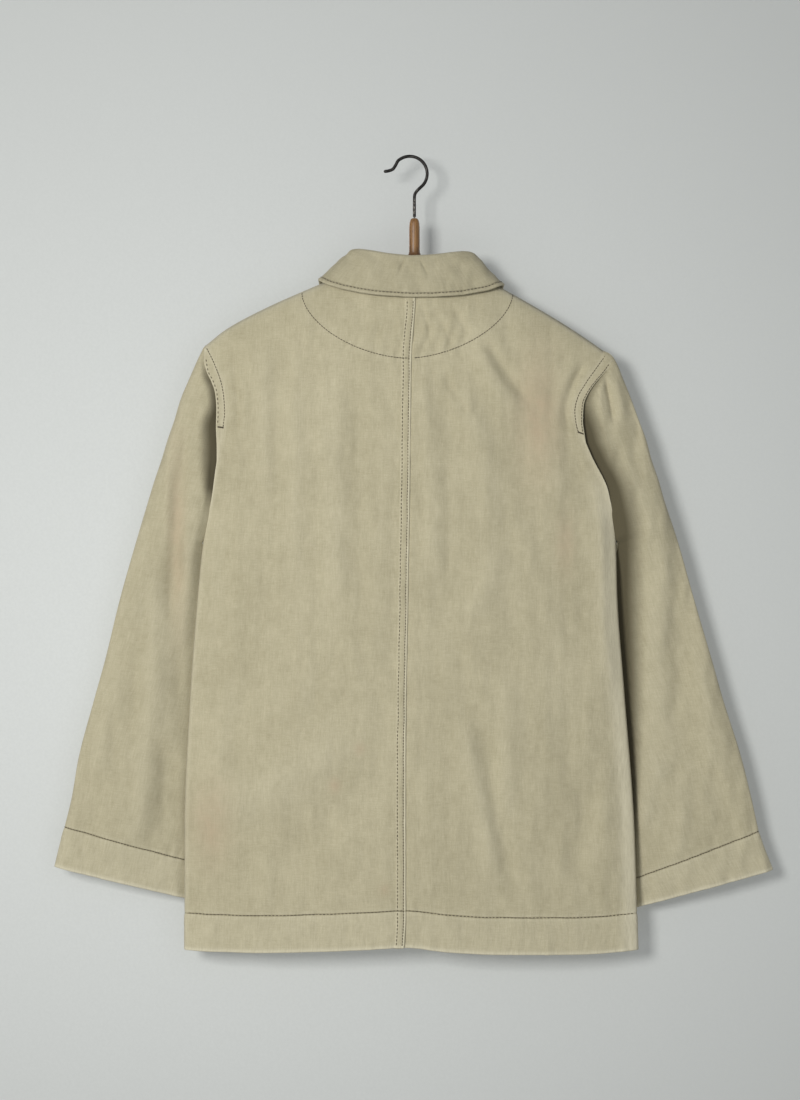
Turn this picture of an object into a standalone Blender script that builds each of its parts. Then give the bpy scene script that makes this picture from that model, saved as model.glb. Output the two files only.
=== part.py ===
"""Denim chore jacket on a wooden hanger, hung by its wire hook.

Metres, +Z up. The origin is where the hook bears on a nail. The jacket's back
faces -Y and its buttoned front faces +Y, so the wearer's right is +X. Every
cloth piece is an open wall: a surface worked out on a grid, then given its
thickness along its own normals.
"""

import math

import bmesh
import bpy
import numpy as np

# ---------------------------------------------------------------- sizes
CLOTH_WALL = 0.0016
SEAM_GAP = 0.0003
DEPTH_CHEST = 0.0205
DEPTH_HEM = 0.0175
SHOULDER_ROUNDING = 0.080
ARMHOLE_HALF_DEPTH = 0.0105

HEM_HEIGHT = -0.8744
UNDERARM_HEIGHT = -0.4250
CENTRE_HEM_HEIGHT = -0.8700
BACK_NECK_HEIGHT = -0.1400
FRONT_NECK_HEIGHT = -0.2050
FRONT_LAP = 0.0200
FRONT_LIFT = 0.0023
LAP_START = 0.0600
LAP_RUN = 0.0340

SIDE_ROWS_BELOW = 7
ARMHOLE_ROWS = 9
SHOULDER_COLUMNS = 12
NECK_COLUMNS = 6
NECK_SHARE = 0.66
FRONT_NECK_EASE = 1.25
FRONT_NECK_SLANT = 0.7

BUTTON_RADIUS = 0.0088
BUTTON_THICKNESS = 0.0034
BUTTON_TOP = -0.2350
BUTTON_STEP = 0.1360
BUTTON_COUNT = 5

HOOK_WIRE = 0.00165
HOOK_CENTRE = (0.0003, -0.0176)
HOOK_RADIUS = 0.01925
SHAFT_X = 0.0054
SHAFT_FOOT = -0.0664
NECK_TOP = -0.0667
NECK_FOOT = -0.1097
HANGER_REACH = 0.1850
HANGER_DROP = 0.0062

# Body outline: height, then the x of the edge on each side. Above the underarm
# this edge is the armhole, whose scoop differs between the two sides.
SIDE_COLUMNS = ("height", "left", "right")
SIDE_TABLE = (
    (-0.8744, -0.2480, 0.2520),
    (-0.7400, -0.2480, 0.2478),
    (-0.5900, -0.2415, 0.2365),
    (-0.4880, -0.2338, 0.2290),
    (-0.4250, -0.2275, 0.2273),
    (-0.3740, -0.2178, 0.2190),
    (-0.3350, -0.2120, 0.2000),
    (-0.3020, -0.2060, 0.1870),
    (-0.2800, -0.2036, 0.1822),
    (-0.2500, -0.2070, 0.1935),
    (-0.2250, -0.2165, 0.2110),
    (-0.2086, -0.2255, 0.2240),
)

# Shoulder line from the armhole tip to the neck, then its straight run on to
# the centre, which only rounds the neck.
SHOULDER_LEFT = (
    (-0.2255, -0.2086),
    (-0.2020, -0.1900),
    (-0.1580, -0.1664),
    (-0.1043, -0.1426),
    (-0.0700, -0.1280),
    (0.0054, -0.0950),
)
SHOULDER_RIGHT = (
    (0.0054, -0.0950),
    (0.0746, -0.1308),
    (0.1058, -0.1470),
    (0.1631, -0.1800),
    (0.1968, -0.2019),
    (0.2240, -0.2210),
)
NECK_SIDE = {"left": -0.0700, "right": 0.0746}

# The centre-back seam leans a little: height and x.
CENTRE_TABLE = (
    (-0.8744, -0.0070),
    (-0.8300, -0.0045),
    (-0.6640, -0.0046),
    (-0.4880, -0.0021),
    (-0.3340, 0.0004),
    (-0.2220, 0.0017),
    (-0.1550, 0.0059),
    (-0.0950, 0.0054),
)

# Lower edge of the hem: x and height.
HEM_TABLE = (
    (-0.2480, -0.8744),
    (-0.1760, -0.8762),
    (-0.1060, -0.8747),
    (-0.0530, -0.8726),
    (-0.0070, -0.8700),
    (0.0440, -0.8752),
    (0.0990, -0.8780),
    (0.1900, -0.8784),
    (0.2520, -0.8746),
)

# The largest soft folds: top and bottom of each fold's line, its width and how
# far it stands out (negative for a trough).
FOLD_COLUMNS = ("face", "top_x", "top", "foot_x", "foot", "width", "rise")
FOLD_TABLE = (
    ("back", 0.0500, -0.2900, 0.1130, -0.8200, 0.0170, -0.0032),
    ("back", 0.0950, -0.2600, 0.1900, -0.7900, 0.0200, 0.0022),
    ("back", 0.1660, -0.4400, 0.1830, -0.7900, 0.0150, -0.0022),
    ("back", 0.0830, -0.2000, 0.1330, -0.2950, 0.0110, -0.0026),
    ("back", -0.1700, -0.2050, -0.1600, -0.5200, 0.0160, -0.0026),
    ("back", -0.0900, -0.2400, -0.1050, -0.6100, 0.0180, -0.0022),
    ("back", -0.0350, -0.2600, -0.0450, -0.6500, 0.0150, 0.0016),
    ("back", 0.0270, -0.2500, 0.0500, -0.6000, 0.0110, 0.0018),
    ("front", -0.1300, -0.2500, -0.1450, -0.7600, 0.0190, -0.0026),
    ("front", 0.1250, -0.2700, 0.1450, -0.8000, 0.0190, -0.0028),
    ("front", 0.1900, -0.4500, 0.1950, -0.8200, 0.0140, -0.0016),
    ("front", -0.1900, -0.4600, -0.2000, -0.8300, 0.0140, -0.0018),
)

# Outer fold of the sleeves, down from the shoulder tips: height, x on each side.
SLEEVE_EDGE_COLUMNS = ("height", "left", "right")
SLEEVE_EDGE_TABLE = (
    (-0.7873, -0.3934, 0.4020),
    (-0.7520, -0.3848, 0.3885),
    (-0.7080, -0.3738, 0.3783),
    (-0.6640, -0.3661, 0.3673),
    (-0.5980, -0.3484, 0.3465),
    (-0.5540, -0.3362, 0.3340),
    (-0.4880, -0.3200, 0.3145),
    (-0.4220, -0.3012, 0.2957),
    (-0.3780, -0.2880, 0.2812),
    (-0.3560, -0.2812, 0.2748),
    (-0.3340, -0.2737, 0.2672),
    (-0.3120, -0.2670, 0.2612),
    (-0.2900, -0.2594, 0.2530),
    (-0.2680, -0.2528, 0.2450),
    (-0.2460, -0.2436, 0.2362),
    (-0.2208, -0.2324, 0.2247),
    (-0.2084, -0.2262, 0.2070),
)

# Sleeves below the underarm: where each row leaves the outer fold, where it
# ends on the inner fold, which passes behind the body and lies over the front,
# and how thick the flattened sleeve is each way from its middle.
SLEEVE_COLUMNS = ("outer_z", "outer_y", "inner_x", "inner_z", "inner_y", "half_depth")
SLEEVE_LEFT = (
    (-0.4050, 0.0035, -0.2296, -0.4254, 0.0000, 0.0105),
    (-0.4240, 0.0038, -0.2268, -0.4400, 0.0060, 0.0100),
    (-0.4430, 0.0040, -0.2215, -0.4580, 0.0130, 0.0100),
    (-0.4650, 0.0045, -0.2080, -0.4850, 0.0215, 0.0100),
    (-0.4900, 0.0050, -0.1880, -0.5180, 0.0285, 0.0105),
    (-0.5300, 0.0060, -0.1720, -0.5680, 0.0325, 0.0110),
    (-0.6060, 0.0070, -0.1860, -0.6500, 0.0320, 0.0120),
    (-0.7110, 0.0085, -0.2130, -0.7520, 0.0270, 0.0120),
    (-0.7480, 0.0090, -0.2220, -0.7880, 0.0250, 0.0115),
    (-0.7839, 0.0090, -0.2310, -0.8240, 0.0240, 0.0110),
)
SLEEVE_RIGHT = (
    (-0.4050, 0.0035, 0.2297, -0.4254, 0.0000, 0.0105),
    (-0.4240, 0.0038, 0.2266, -0.4400, 0.0060, 0.0100),
    (-0.4430, 0.0040, 0.2210, -0.4580, 0.0130, 0.0100),
    (-0.4650, 0.0045, 0.2070, -0.4850, 0.0215, 0.0100),
    (-0.4900, 0.0050, 0.1870, -0.5180, 0.0285, 0.0105),
    (-0.5300, 0.0060, 0.1710, -0.5680, 0.0325, 0.0110),
    (-0.6060, 0.0070, 0.1900, -0.6530, 0.0320, 0.0120),
    (-0.7110, 0.0085, 0.2190, -0.7560, 0.0270, 0.0120),
    (-0.7530, 0.0090, 0.2300, -0.7980, 0.0250, 0.0115),
    (-0.7873, 0.0090, 0.2400, -0.8335, 0.0240, 0.0110),
)
SLEEVE_COLUMNS_EACH_WAY = 7
ARMHOLE_SLANT = 0.0006

# Collar from centre back (0) over the shoulder (0.5) to centre front (1): the
# fold line and the loose edge, as distances out from the collar's own centre.
COLLAR_CENTRE = 0.0023
COLLAR_TILT = -0.022
COLLAR_COLUMNS = ("along", "fold_x", "fold_y", "fold_z", "edge_x", "edge_y", "edge_z")
COLLAR_TABLE = (
    (0.00, 0.0000, -0.0190, -0.1110, 0.0000, -0.0262, -0.1556),
    (0.17, 0.0235, -0.0182, -0.1095, 0.0400, -0.0252, -0.1535),
    (0.33, 0.0440, -0.0145, -0.1065, 0.0740, -0.0200, -0.1480),
    (0.45, 0.0580, -0.0065, -0.1045, 0.0955, -0.0112, -0.1412),
    (0.50, 0.0610, 0.0000, -0.1055, 0.1020, 0.0000, -0.1375),
    (0.55, 0.0620, 0.0085, -0.1085, 0.1010, 0.0115, -0.1420),
    (0.70, 0.0580, 0.0190, -0.1290, 0.0970, 0.0225, -0.1680),
    (0.85, 0.0390, 0.0250, -0.1670, 0.0820, 0.0268, -0.2120),
    (1.00, 0.0060, 0.0275, -0.1960, 0.0580, 0.0285, -0.2500),
)
COLLAR_FOLD_HALF = 0.0022
COLLAR_FOLD_DROP = 0.0026
COLLAR_FALL_BOW = 0.0012
NECK_CORNER_EASE = 1.6

COLOURS = {
    "denim": (0.455, 0.410, 0.270, 1.0),
    "hook_wire": (0.030, 0.028, 0.027, 1.0),
    "hanger_wood": (0.300, 0.130, 0.035, 1.0),
    "button": (0.240, 0.190, 0.110, 1.0),
}


# ---------------------------------------------------------------- helpers
def clear_scene():
    """Remove every object so the script can be run again."""
    for item in list(bpy.data.objects):
        bpy.data.objects.remove(item, do_unlink=True)


def make_material(name, roughness, metallic):
    """A Principled material in the named colour."""
    material = bpy.data.materials.new(name)
    material.use_nodes = True
    shader = material.node_tree.nodes["Principled BSDF"]
    shader.inputs["Base Color"].default_value = COLOURS[name]
    shader.inputs["Roughness"].default_value = roughness
    shader.inputs["Metallic"].default_value = metallic
    return material


def smooth_between(knots, values, at):
    """A cubic through the knots whose slope never overshoots them."""
    knots = np.asarray(knots, float)
    values = np.asarray(values, float)
    at = np.clip(np.asarray(at, float), knots[0], knots[-1])
    steps = np.diff(knots)
    secants = np.diff(values) / steps
    slopes = np.empty_like(values)
    slopes[0] = secants[0]
    slopes[-1] = secants[-1]
    before, after = secants[:-1], secants[1:]
    same = before * after > 0
    total = before + after
    mean = np.where(same, 2 * before * after / np.where(same, total, 1.0), 0.0)
    slopes[1:-1] = mean
    index = np.clip(np.searchsorted(knots, at, side="right") - 1, 0, len(steps) - 1)
    span = steps[index]
    part = (at - knots[index]) / span
    square, cube = part ** 2, part ** 3
    return (values[index] * (2 * cube - 3 * square + 1)
            + values[index + 1] * (3 * square - 2 * cube)
            + slopes[index] * span * (cube - 2 * square + part)
            + slopes[index + 1] * span * (cube - square))


def table_column(table, columns, name):
    """One named column of a table as an array."""
    place = columns.index(name)
    return np.array([row[place] for row in table], float)


def soft_step(value):
    """0 below 0, 1 above 1, with a smooth rise between."""
    part = np.clip(value, 0.0, 1.0)
    return part * part * (3 - 2 * part)


def add_mesh(name, points, faces, material, smooth=True):
    """Make one object from points and faces, with its normals outward."""
    mesh = bpy.data.meshes.new(name)
    mesh.from_pydata([tuple(p) for p in points], [], faces)
    mesh.validate()
    work = bmesh.new()
    work.from_mesh(mesh)
    bmesh.ops.recalc_face_normals(work, faces=work.faces)
    if work.calc_volume(signed=True) < 0:
        bmesh.ops.reverse_faces(work, faces=work.faces)
    work.to_mesh(mesh)
    work.free()
    if smooth:
        mesh.shade_smooth()
        mesh.set_sharp_from_angle(angle=math.radians(50))
    mesh.materials.append(material)
    item = bpy.data.objects.new(name, mesh)
    bpy.context.scene.collection.objects.link(item)
    return item


def grid_normals(surface, across, up, low=0.012, high=0.988, step=0.004):
    """Unit normals of a surface function, measured just inside its edges."""
    a = np.clip(across, low, high)
    b = np.clip(up, low, high)
    along_a = surface(a + step, b) - surface(a - step, b)
    along_b = surface(a, b + step) - surface(a, b - step)
    normal = np.cross(along_a, along_b)
    return normal / np.linalg.norm(normal, axis=-1, keepdims=True)


def wall_between(name, outer, inner, material, ring=False, mirror_from=None):
    """Close two matching grids of points into one wall. A ring joins its last
    column to its first. Rows from mirror_from on are split along the other
    diagonal, so that a mirrored shape has mirrored triangles."""
    rows, columns = outer.shape[:2]
    points = np.concatenate([outer.reshape(-1, 3), inner.reshape(-1, 3)])
    offset = rows * columns
    faces = []
    last = columns if ring else columns - 1
    mirror_from = rows if mirror_from is None else mirror_from
    for row in range(rows - 1):
        for column in range(last):
            following = (column + 1) % columns
            a = row * columns + column
            b = row * columns + following
            c = (row + 1) * columns + following
            d = (row + 1) * columns + column
            if row < mirror_from:
                halves = ((a, b, c), (a, c, d))
            else:
                halves = ((a, b, d), (b, c, d))
            for half in halves:
                faces.append(half)
                faces.append(tuple(corner + offset for corner in reversed(half)))
    for row in (0, rows - 1):
        for column in range(last):
            following = (column + 1) % columns
            a = row * columns + column
            b = row * columns + following
            faces.append((a, b, b + offset, a + offset))
    if not ring:
        for column in (0, columns - 1):
            for row in range(rows - 1):
                a = row * columns + column
                d = (row + 1) * columns + column
                faces.append((a, d, d + offset, a + offset))
    return add_mesh(name, points, faces, material)


def solid_rings(name, rings, material):
    """A closed solid lofted through rings of points, with flat ends."""
    rings = np.asarray(rings)
    count, around = rings.shape[:2]
    faces = []
    for row in range(count - 1):
        for column in range(around):
            following = (column + 1) % around
            a = row * around + column
            b = row * around + following
            faces.append((a, b, b + around, a + around))
    faces.append(tuple(range(around)))
    faces.append(tuple(range((count - 1) * around, count * around)))
    return add_mesh(name, rings.reshape(-1, 3), faces, material)


# ---------------------------------------------------------------- body form
def side_x(side, height):
    """x of the side seam, or of the armhole above the underarm."""
    return smooth_between(table_column(SIDE_TABLE, SIDE_COLUMNS, "height"),
                          table_column(SIDE_TABLE, SIDE_COLUMNS, side), height)


def centre_x(height):
    """x of the centre-back seam at a height."""
    rows = np.array(CENTRE_TABLE)
    return smooth_between(rows[:, 0], rows[:, 1], height)


def shoulder_height(side, x):
    """Height of the shoulder line, run on straight to the centre."""
    rows = np.array(SHOULDER_LEFT if side == "left" else SHOULDER_RIGHT)
    return smooth_between(rows[:, 0], rows[:, 1], x)


def hem_height(x):
    """Height of the hem's lower edge."""
    rows = np.array(HEM_TABLE)
    return smooth_between(rows[:, 0], rows[:, 1], x)


def fold_rise(face, x, height):
    """Sum of the soft folds: a bell across each fold line, faded at its ends."""
    total = np.zeros_like(x)
    for row in FOLD_TABLE:
        fold = dict(zip(FOLD_COLUMNS, row))
        if fold["face"] != face:
            continue
        part = (height - fold["foot"]) / (fold["top"] - fold["foot"])
        line = fold["foot_x"] + (fold["top_x"] - fold["foot_x"]) * part
        across = np.exp(-((x - line) / fold["width"]) ** 2)
        fade = soft_step(part * 3.0) * soft_step((1 - part) * 3.0)
        total = total + fold["rise"] * across * fade
    return total


def body_depth(side, face, x, height):
    """How far the cloth stands from the seam plane: a lens across the body,
    rounded over the shoulder line, with the armhole edges held open."""
    edge = side_x(side, height)
    share = (x - edge) / (centre_x(height) - edge)
    share = np.clip(share, 0.0, 2.0)
    above = soft_step((height - UNDERARM_HEIGHT) / 0.070)
    lens = (1 - (1 - share) ** 2) ** (0.5 + 0.5 * above)
    depth = DEPTH_HEM + (DEPTH_CHEST - DEPTH_HEM) * soft_step((height + 0.80) / 0.30)
    open_edge = ARMHOLE_HALF_DEPTH * soft_step((height - UNDERARM_HEIGHT) / 0.100)
    below = np.clip(shoulder_height(side, x) - height, 0.0, SHOULDER_ROUNDING)
    rounding = np.sqrt(np.clip(1 - (1 - below / SHOULDER_ROUNDING) ** 2, 0.0, 1.0))
    return rounding * (open_edge + (depth - open_edge) * lens)


def row_shares():
    """Heights of the grid rows as shares, with one row on the underarm."""
    tip = side_tip_height("left")
    under = (UNDERARM_HEIGHT - HEM_HEIGHT) / (tip - HEM_HEIGHT)
    lower = np.linspace(0.0, under, SIDE_ROWS_BELOW + 1)
    part = np.arange(1, ARMHOLE_ROWS + 1) / ARMHOLE_ROWS
    upper = under + (1 - under) * (1 - (1 - part) ** 1.6)
    return np.concatenate([lower, upper])


def column_shares():
    """Columns from side to centre, with one column on the neck's side point."""
    part = np.arange(SHOULDER_COLUMNS + 1) / SHOULDER_COLUMNS
    shoulder = NECK_SHARE * part ** 1.6
    neck = NECK_SHARE + (1 - NECK_SHARE) * np.arange(1, NECK_COLUMNS + 1) / NECK_COLUMNS
    return np.concatenate([shoulder, neck])


def side_tip_height(side):
    """Height of the shoulder tip."""
    return SHOULDER_LEFT[0][1] if side == "left" else SHOULDER_RIGHT[-1][1]


def panel_outline(side, face, share_in, share_up):
    """x and height inside a panel: a Coons patch over its four edges."""
    sign = -1.0 if side == "left" else 1.0
    tip = side_tip_height(side)
    neck_x = NECK_SIDE[side]
    neck_z = shoulder_height(side, neck_x)
    top_z = BACK_NECK_HEIGHT if face == "back" else FRONT_NECK_HEIGHT
    lap = 0.0 if face == "back" else -sign * FRONT_LAP

    def side_edge(v):
        height = HEM_HEIGHT + (tip - HEM_HEIGHT) * v
        return side_x(side, height), height

    def centre_edge(v):
        height = CENTRE_HEM_HEIGHT + (top_z - CENTRE_HEM_HEIGHT) * v
        gap = sign * SEAM_GAP / 2 if face == "back" else lap
        return centre_x(height) + gap, height

    def hem_edge(u):
        start = side_edge(0.0)[0]
        finish = centre_edge(0.0)[0]
        x = start + (finish - start) * u
        return x, hem_height(x)

    def top_edge(u):
        part = np.clip(u / NECK_SHARE, 0.0, 1.0)
        tip_x = side_x(side, tip)
        shoulder_x = tip_x + (neck_x - tip_x) * part
        turn = np.clip((u - NECK_SHARE) / (1 - NECK_SHARE), 0.0, 1.0)
        finish_x, finish_z = centre_edge(1.0)
        if face == "front":
            turn_end = (NECK_COLUMNS - 1) / NECK_COLUMNS
            last = np.clip((turn - turn_end) / (1 - turn_end), 0.0, 1.0)
            turn = np.clip(turn / turn_end, 0.0, 1.0) ** FRONT_NECK_EASE
            meet_x = centre_x(finish_z) + sign * 0.0012
        else:
            last = np.zeros_like(turn)
            meet_x = finish_x
        angle = turn * math.pi / 2
        straight = FRONT_NECK_SLANT if face == "front" else 0.0
        out = straight * (1 - turn) + (1 - straight) * np.cos(angle)
        neck_curve_x = meet_x + (neck_x - meet_x) * out
        neck_curve_z = finish_z + (neck_z - finish_z) * (1 - np.sin(angle))
        neck_curve_x = neck_curve_x + (finish_x - meet_x) * last
        on_neck = u > NECK_SHARE
        x = np.where(on_neck, neck_curve_x, shoulder_x)
        z = np.where(on_neck, neck_curve_z, shoulder_height(side, shoulder_x))
        return x, z

    u, v = share_in, share_up
    side_px, side_pz = side_edge(v)
    centre_px, centre_pz = centre_edge(v)
    hem_px, hem_pz = hem_edge(u)
    top_px, top_pz = top_edge(u)
    corner_a = side_edge(0.0)[0], hem_edge(0.0)[1]
    corner_b = hem_edge(1.0)[0], hem_edge(1.0)[1]
    corner_c = side_edge(1.0)
    corner_d = top_edge(np.asarray(1.0))

    def blend(side_p, centre_p, hem_p, top_p, which):
        ruled = (1 - v) * hem_p + v * top_p + (1 - u) * side_p + u * centre_p
        corners = ((1 - u) * (1 - v) * corner_a[which] + u * (1 - v) * corner_b[which]
                   + (1 - u) * v * corner_c[which] + u * v * corner_d[which])
        return ruled - corners

    x = blend(side_px, centre_px, hem_px, top_px, 0)
    z = blend(side_pz, centre_pz, hem_pz, top_pz, 1)
    return x, z


def panel_points(side, face, share_in, share_up):
    """Middle surface of one body panel for shares across and up."""
    x, z = panel_outline(side, face, share_in, share_up)
    depth = body_depth(side, face, x, z) + SEAM_GAP / 2
    calm = soft_step((x - side_x(side, z)) * (1 if side == "left" else -1) / 0.030)
    low = soft_step((shoulder_height(side, x) - z) / 0.060)
    depth = depth + fold_rise(face, x, z) * calm * low
    if face == "front" and side == "left":
        depth = depth + FRONT_LIFT * soft_step((x - centre_x(z) + LAP_START) / LAP_RUN)
    y = -depth if face == "back" else depth
    return np.stack([x, y, z], axis=-1)


def panel_grid(side, face):
    """Grid of middle points and outward normals of a body panel."""
    inward, upward = np.meshgrid(column_shares(), row_shares())

    def surface(a, b):
        return panel_points(side, face, a, b)

    middle = surface(inward, upward)
    normal = grid_normals(surface, inward, upward)
    outward = -1.0 if face == "back" else 1.0
    normal = normal * np.sign(np.sum(normal[..., 1] * outward))
    normal[:SIDE_ROWS_BELOW + 1, 0, 1] = 0.0
    normal[-1, :SHOULDER_COLUMNS + 1, 1] = 0.0
    normal /= np.linalg.norm(normal, axis=-1, keepdims=True)
    return middle, normal


def neck_edge(side, face):
    """Neck edge of a panel, its normals and the way on from it in its surface."""
    middle, normal = panel_grid(side, face)
    line = middle[-1, SHOULDER_COLUMNS:]
    line_normal = normal[-1, SHOULDER_COLUMNS:]
    onward = np.cross(np.gradient(line, axis=0), line_normal)
    onward /= np.linalg.norm(onward, axis=-1, keepdims=True)
    into = middle[-2, SHOULDER_COLUMNS:] - line
    onward = -onward * np.sign(np.sum(onward * into, axis=-1, keepdims=True))
    sign = -1.0 if side == "left" else 1.0
    onward[0] = (-sign * NECK_CORNER_EASE, 0.0, 0.0)
    return line, line_normal, onward


def make_panel(side, face, material):
    """One back or front panel as a wall of cloth."""
    middle, normal = panel_grid(side, face)
    half = CLOTH_WALL / 2
    mirror_from = None if side == "left" else 0
    return wall_between(face + "_" + side, middle + normal * half,
                        middle - normal * half, material, mirror_from=mirror_from)


# ---------------------------------------------------------------- sleeves
def outer_fold_x(side, height):
    """x of a sleeve's outer fold at a height."""
    return smooth_between(table_column(SLEEVE_EDGE_TABLE, SLEEVE_EDGE_COLUMNS, "height"),
                          table_column(SLEEVE_EDGE_TABLE, SLEEVE_EDGE_COLUMNS, side),
                          height)


def armhole_edge(side):
    """Armhole of one side from the tip down to the underarm: its points on the
    back with one seam gap added outward, and the back's normals there."""
    sign = -1.0 if side == "left" else 1.0
    middle, normal = panel_grid(side, "back")
    edge = middle[SIDE_ROWS_BELOW:, 0][::-1].copy()
    edge_normal = normal[SIDE_ROWS_BELOW:, 0][::-1].copy()
    part = np.arange(len(edge)) / (len(edge) - 1)
    shift = SEAM_GAP + ARMHOLE_SLANT * (1 - 2 * part) ** 2
    edge[:, 0] += sign * shift
    edge[(0, -1), 1] = 0.0
    return edge, edge_normal


def sleeve_row(side, inner, outer, inner_half, half_depth):
    """One row of a sleeve from the inner line at the back, round the outer fold,
    to the inner line at the front: a flattened ellipse, open by inner_half."""
    start = math.asin(min(inner_half / half_depth, 1.0))
    part = np.arange(SLEEVE_COLUMNS_EACH_WAY + 1) / SLEEVE_COLUMNS_EACH_WAY
    angle = start + (math.pi - start) * part
    share = (math.cos(start) - np.cos(angle)) / (1 + math.cos(start))
    middle = inner + (outer - inner) * share[:, None]
    half = half_depth * np.sin(angle)
    half[-1] = 0.0
    away = np.array([0.0, 1.0, 0.0])
    back = middle - half[:, None] * away
    front = middle + half[:, None] * away
    return np.concatenate([back, front[:-1][::-1]])


def sleeve_grid(side):
    """Rows of a sleeve down from the shoulder tip. The open rows end on the two
    sides of the armhole; the others close on themselves."""
    edge, edge_normal = armhole_edge(side)
    table = SLEEVE_LEFT if side == "left" else SLEEVE_RIGHT
    columns = {name: table_column(table, SLEEVE_COLUMNS, name) for name in SLEEVE_COLUMNS}
    depths = np.maximum.accumulate(np.abs(edge[:, 1]))
    under_z = columns["outer_z"][0]
    under_y = columns["outer_y"][0]
    drop = (edge[:, 2] - edge[0, 2]) / (edge[-1, 2] - edge[0, 2])
    rows = []
    for place in range(1, len(edge) - 1):
        outer_z = edge[0, 2] + (under_z - edge[0, 2]) * drop[place]
        outer = np.array([outer_fold_x(side, outer_z), under_y * drop[place], outer_z])
        inner = edge[place] * np.array([1.0, 0.0, 1.0])
        rows.append(sleeve_row(side, inner, outer, abs(edge[place, 1]), depths[place]))
    open_rows = len(rows)
    for place in range(len(table)):
        outer_z = columns["outer_z"][place]
        outer = np.array([outer_fold_x(side, outer_z), columns["outer_y"][place], outer_z])
        inner = np.array([columns["inner_" + axis][place] for axis in "xyz"])
        rows.append(sleeve_row(side, inner, outer, 0.0, columns["half_depth"][place]))
    return edge[0], np.array(rows), open_rows, edge_normal


def weighted_normals(points, triangles):
    """Normals at the points of a triangle mesh, each triangle counted by area."""
    corners = points[np.asarray(triangles)]
    facing = np.cross(corners[:, 1] - corners[:, 0], corners[:, 2] - corners[:, 0])
    total = np.zeros_like(points)
    for corner in range(3):
        np.add.at(total, np.asarray(triangles)[:, corner], facing)
    length = np.linalg.norm(total, axis=1, keepdims=True)
    return total / np.where(length > 0, length, 1.0)


def sleeve_faces(rows, columns, open_rows):
    """Triangles of the sleeve's surface and its two border loops, over points
    listed as the tip and then row by row. Closed rows share their end points."""
    place = np.arange(rows * columns).reshape(rows, columns) + 1
    place[open_rows:, -1] = place[open_rows:, 0]
    half = columns // 2
    triangles = []
    for column in range(columns - 1):
        triangles.append((0, place[0, column + 1], place[0, column]))
    for row in range(rows - 1):
        for column in range(columns - 1):
            a, b = place[row, column], place[row, column + 1]
            d, c = place[row + 1, column], place[row + 1, column + 1]
            if column < half:
                triangles += [(a, b, c), (a, c, d)]
            else:
                triangles += [(a, b, d), (b, c, d)]
    armhole = [0] + list(place[:open_rows, 0]) + [place[open_rows, 0]]
    armhole += list(place[:open_rows, -1][::-1])
    cuff = list(place[-1, :-1])
    return place, triangles, armhole, cuff


def make_sleeve(side, material):
    """One sleeve as a tube of cloth open at the armhole and the cuff."""
    tip, grid, open_rows, edge_normal = sleeve_grid(side)
    rows, columns = grid.shape[:2]
    place, triangles, armhole, cuff = sleeve_faces(rows, columns, open_rows)
    points = np.concatenate([tip[None, :], grid.reshape(-1, 3)])
    normals = weighted_normals(points, triangles)
    if np.dot(normals[place[open_rows, columns // 4]], (0.0, -1.0, 0.0)) < 0:
        normals = -normals
    mirror = np.array([1.0, -1.0, 1.0])
    normals[0] = edge_normal[0]
    for row in range(open_rows):
        normals[place[row, 0]] = edge_normal[row + 1]
        normals[place[row, -1]] = edge_normal[row + 1] * mirror
    used = sorted(set(place.ravel()) | {0})
    renumber = {old: new for new, old in enumerate(used)}
    half = CLOTH_WALL / 2
    outside = points[used] + normals[used] * half
    inside = points[used] - normals[used] * half
    count = len(used)
    faces = []
    for triangle in triangles:
        corners = tuple(renumber[corner] for corner in triangle)
        faces.append(corners)
        faces.append(tuple(corner + count for corner in reversed(corners)))
    for loop in (armhole, cuff):
        for first, second in zip(loop, loop[1:] + loop[:1]):
            a, b = renumber[first], renumber[second]
            faces.append((a, b, b + count, a + count))
    return add_mesh("sleeve_" + side, np.concatenate([outside, inside]), faces, material)


# ---------------------------------------------------------------- collar
def collar_stations():
    """Neck seam from the left front, round the back, to the right front: its
    points, its normals, and how far round each lies (left negative)."""
    halves = []
    for side in ("left", "right"):
        back = neck_edge(side, "back")
        front = neck_edge(side, "front")
        lines = []
        for front_part, back_part in zip(front, back):
            joint = (front_part[:1] + back_part[:1]) / 2
            lines.append(np.concatenate([front_part[1:-1][::-1], joint, back_part[1:]]))
        line, normal, onward = lines
        line = line + onward * SEAM_GAP * 1.2
        back_share = 0.5 * np.arange(NECK_COLUMNS - 1, -1, -1) / NECK_COLUMNS
        front_part = np.arange(NECK_COLUMNS) / (NECK_COLUMNS - 1)
        front_share = 0.5 + 0.5 * front_part ** (0.8 * FRONT_NECK_EASE)
        share = np.concatenate([front_share[::-1], back_share])
        halves.append((line, normal, share))
    (left, left_normal, left_share), (right, right_normal, right_share) = halves
    line = np.concatenate([left, right[::-1][1:]])
    normal = np.concatenate([left_normal, right_normal[::-1][1:]])
    share = np.concatenate([-left_share, right_share[::-1][1:]])
    return line, normal / np.linalg.norm(normal, axis=-1, keepdims=True), share


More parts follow.
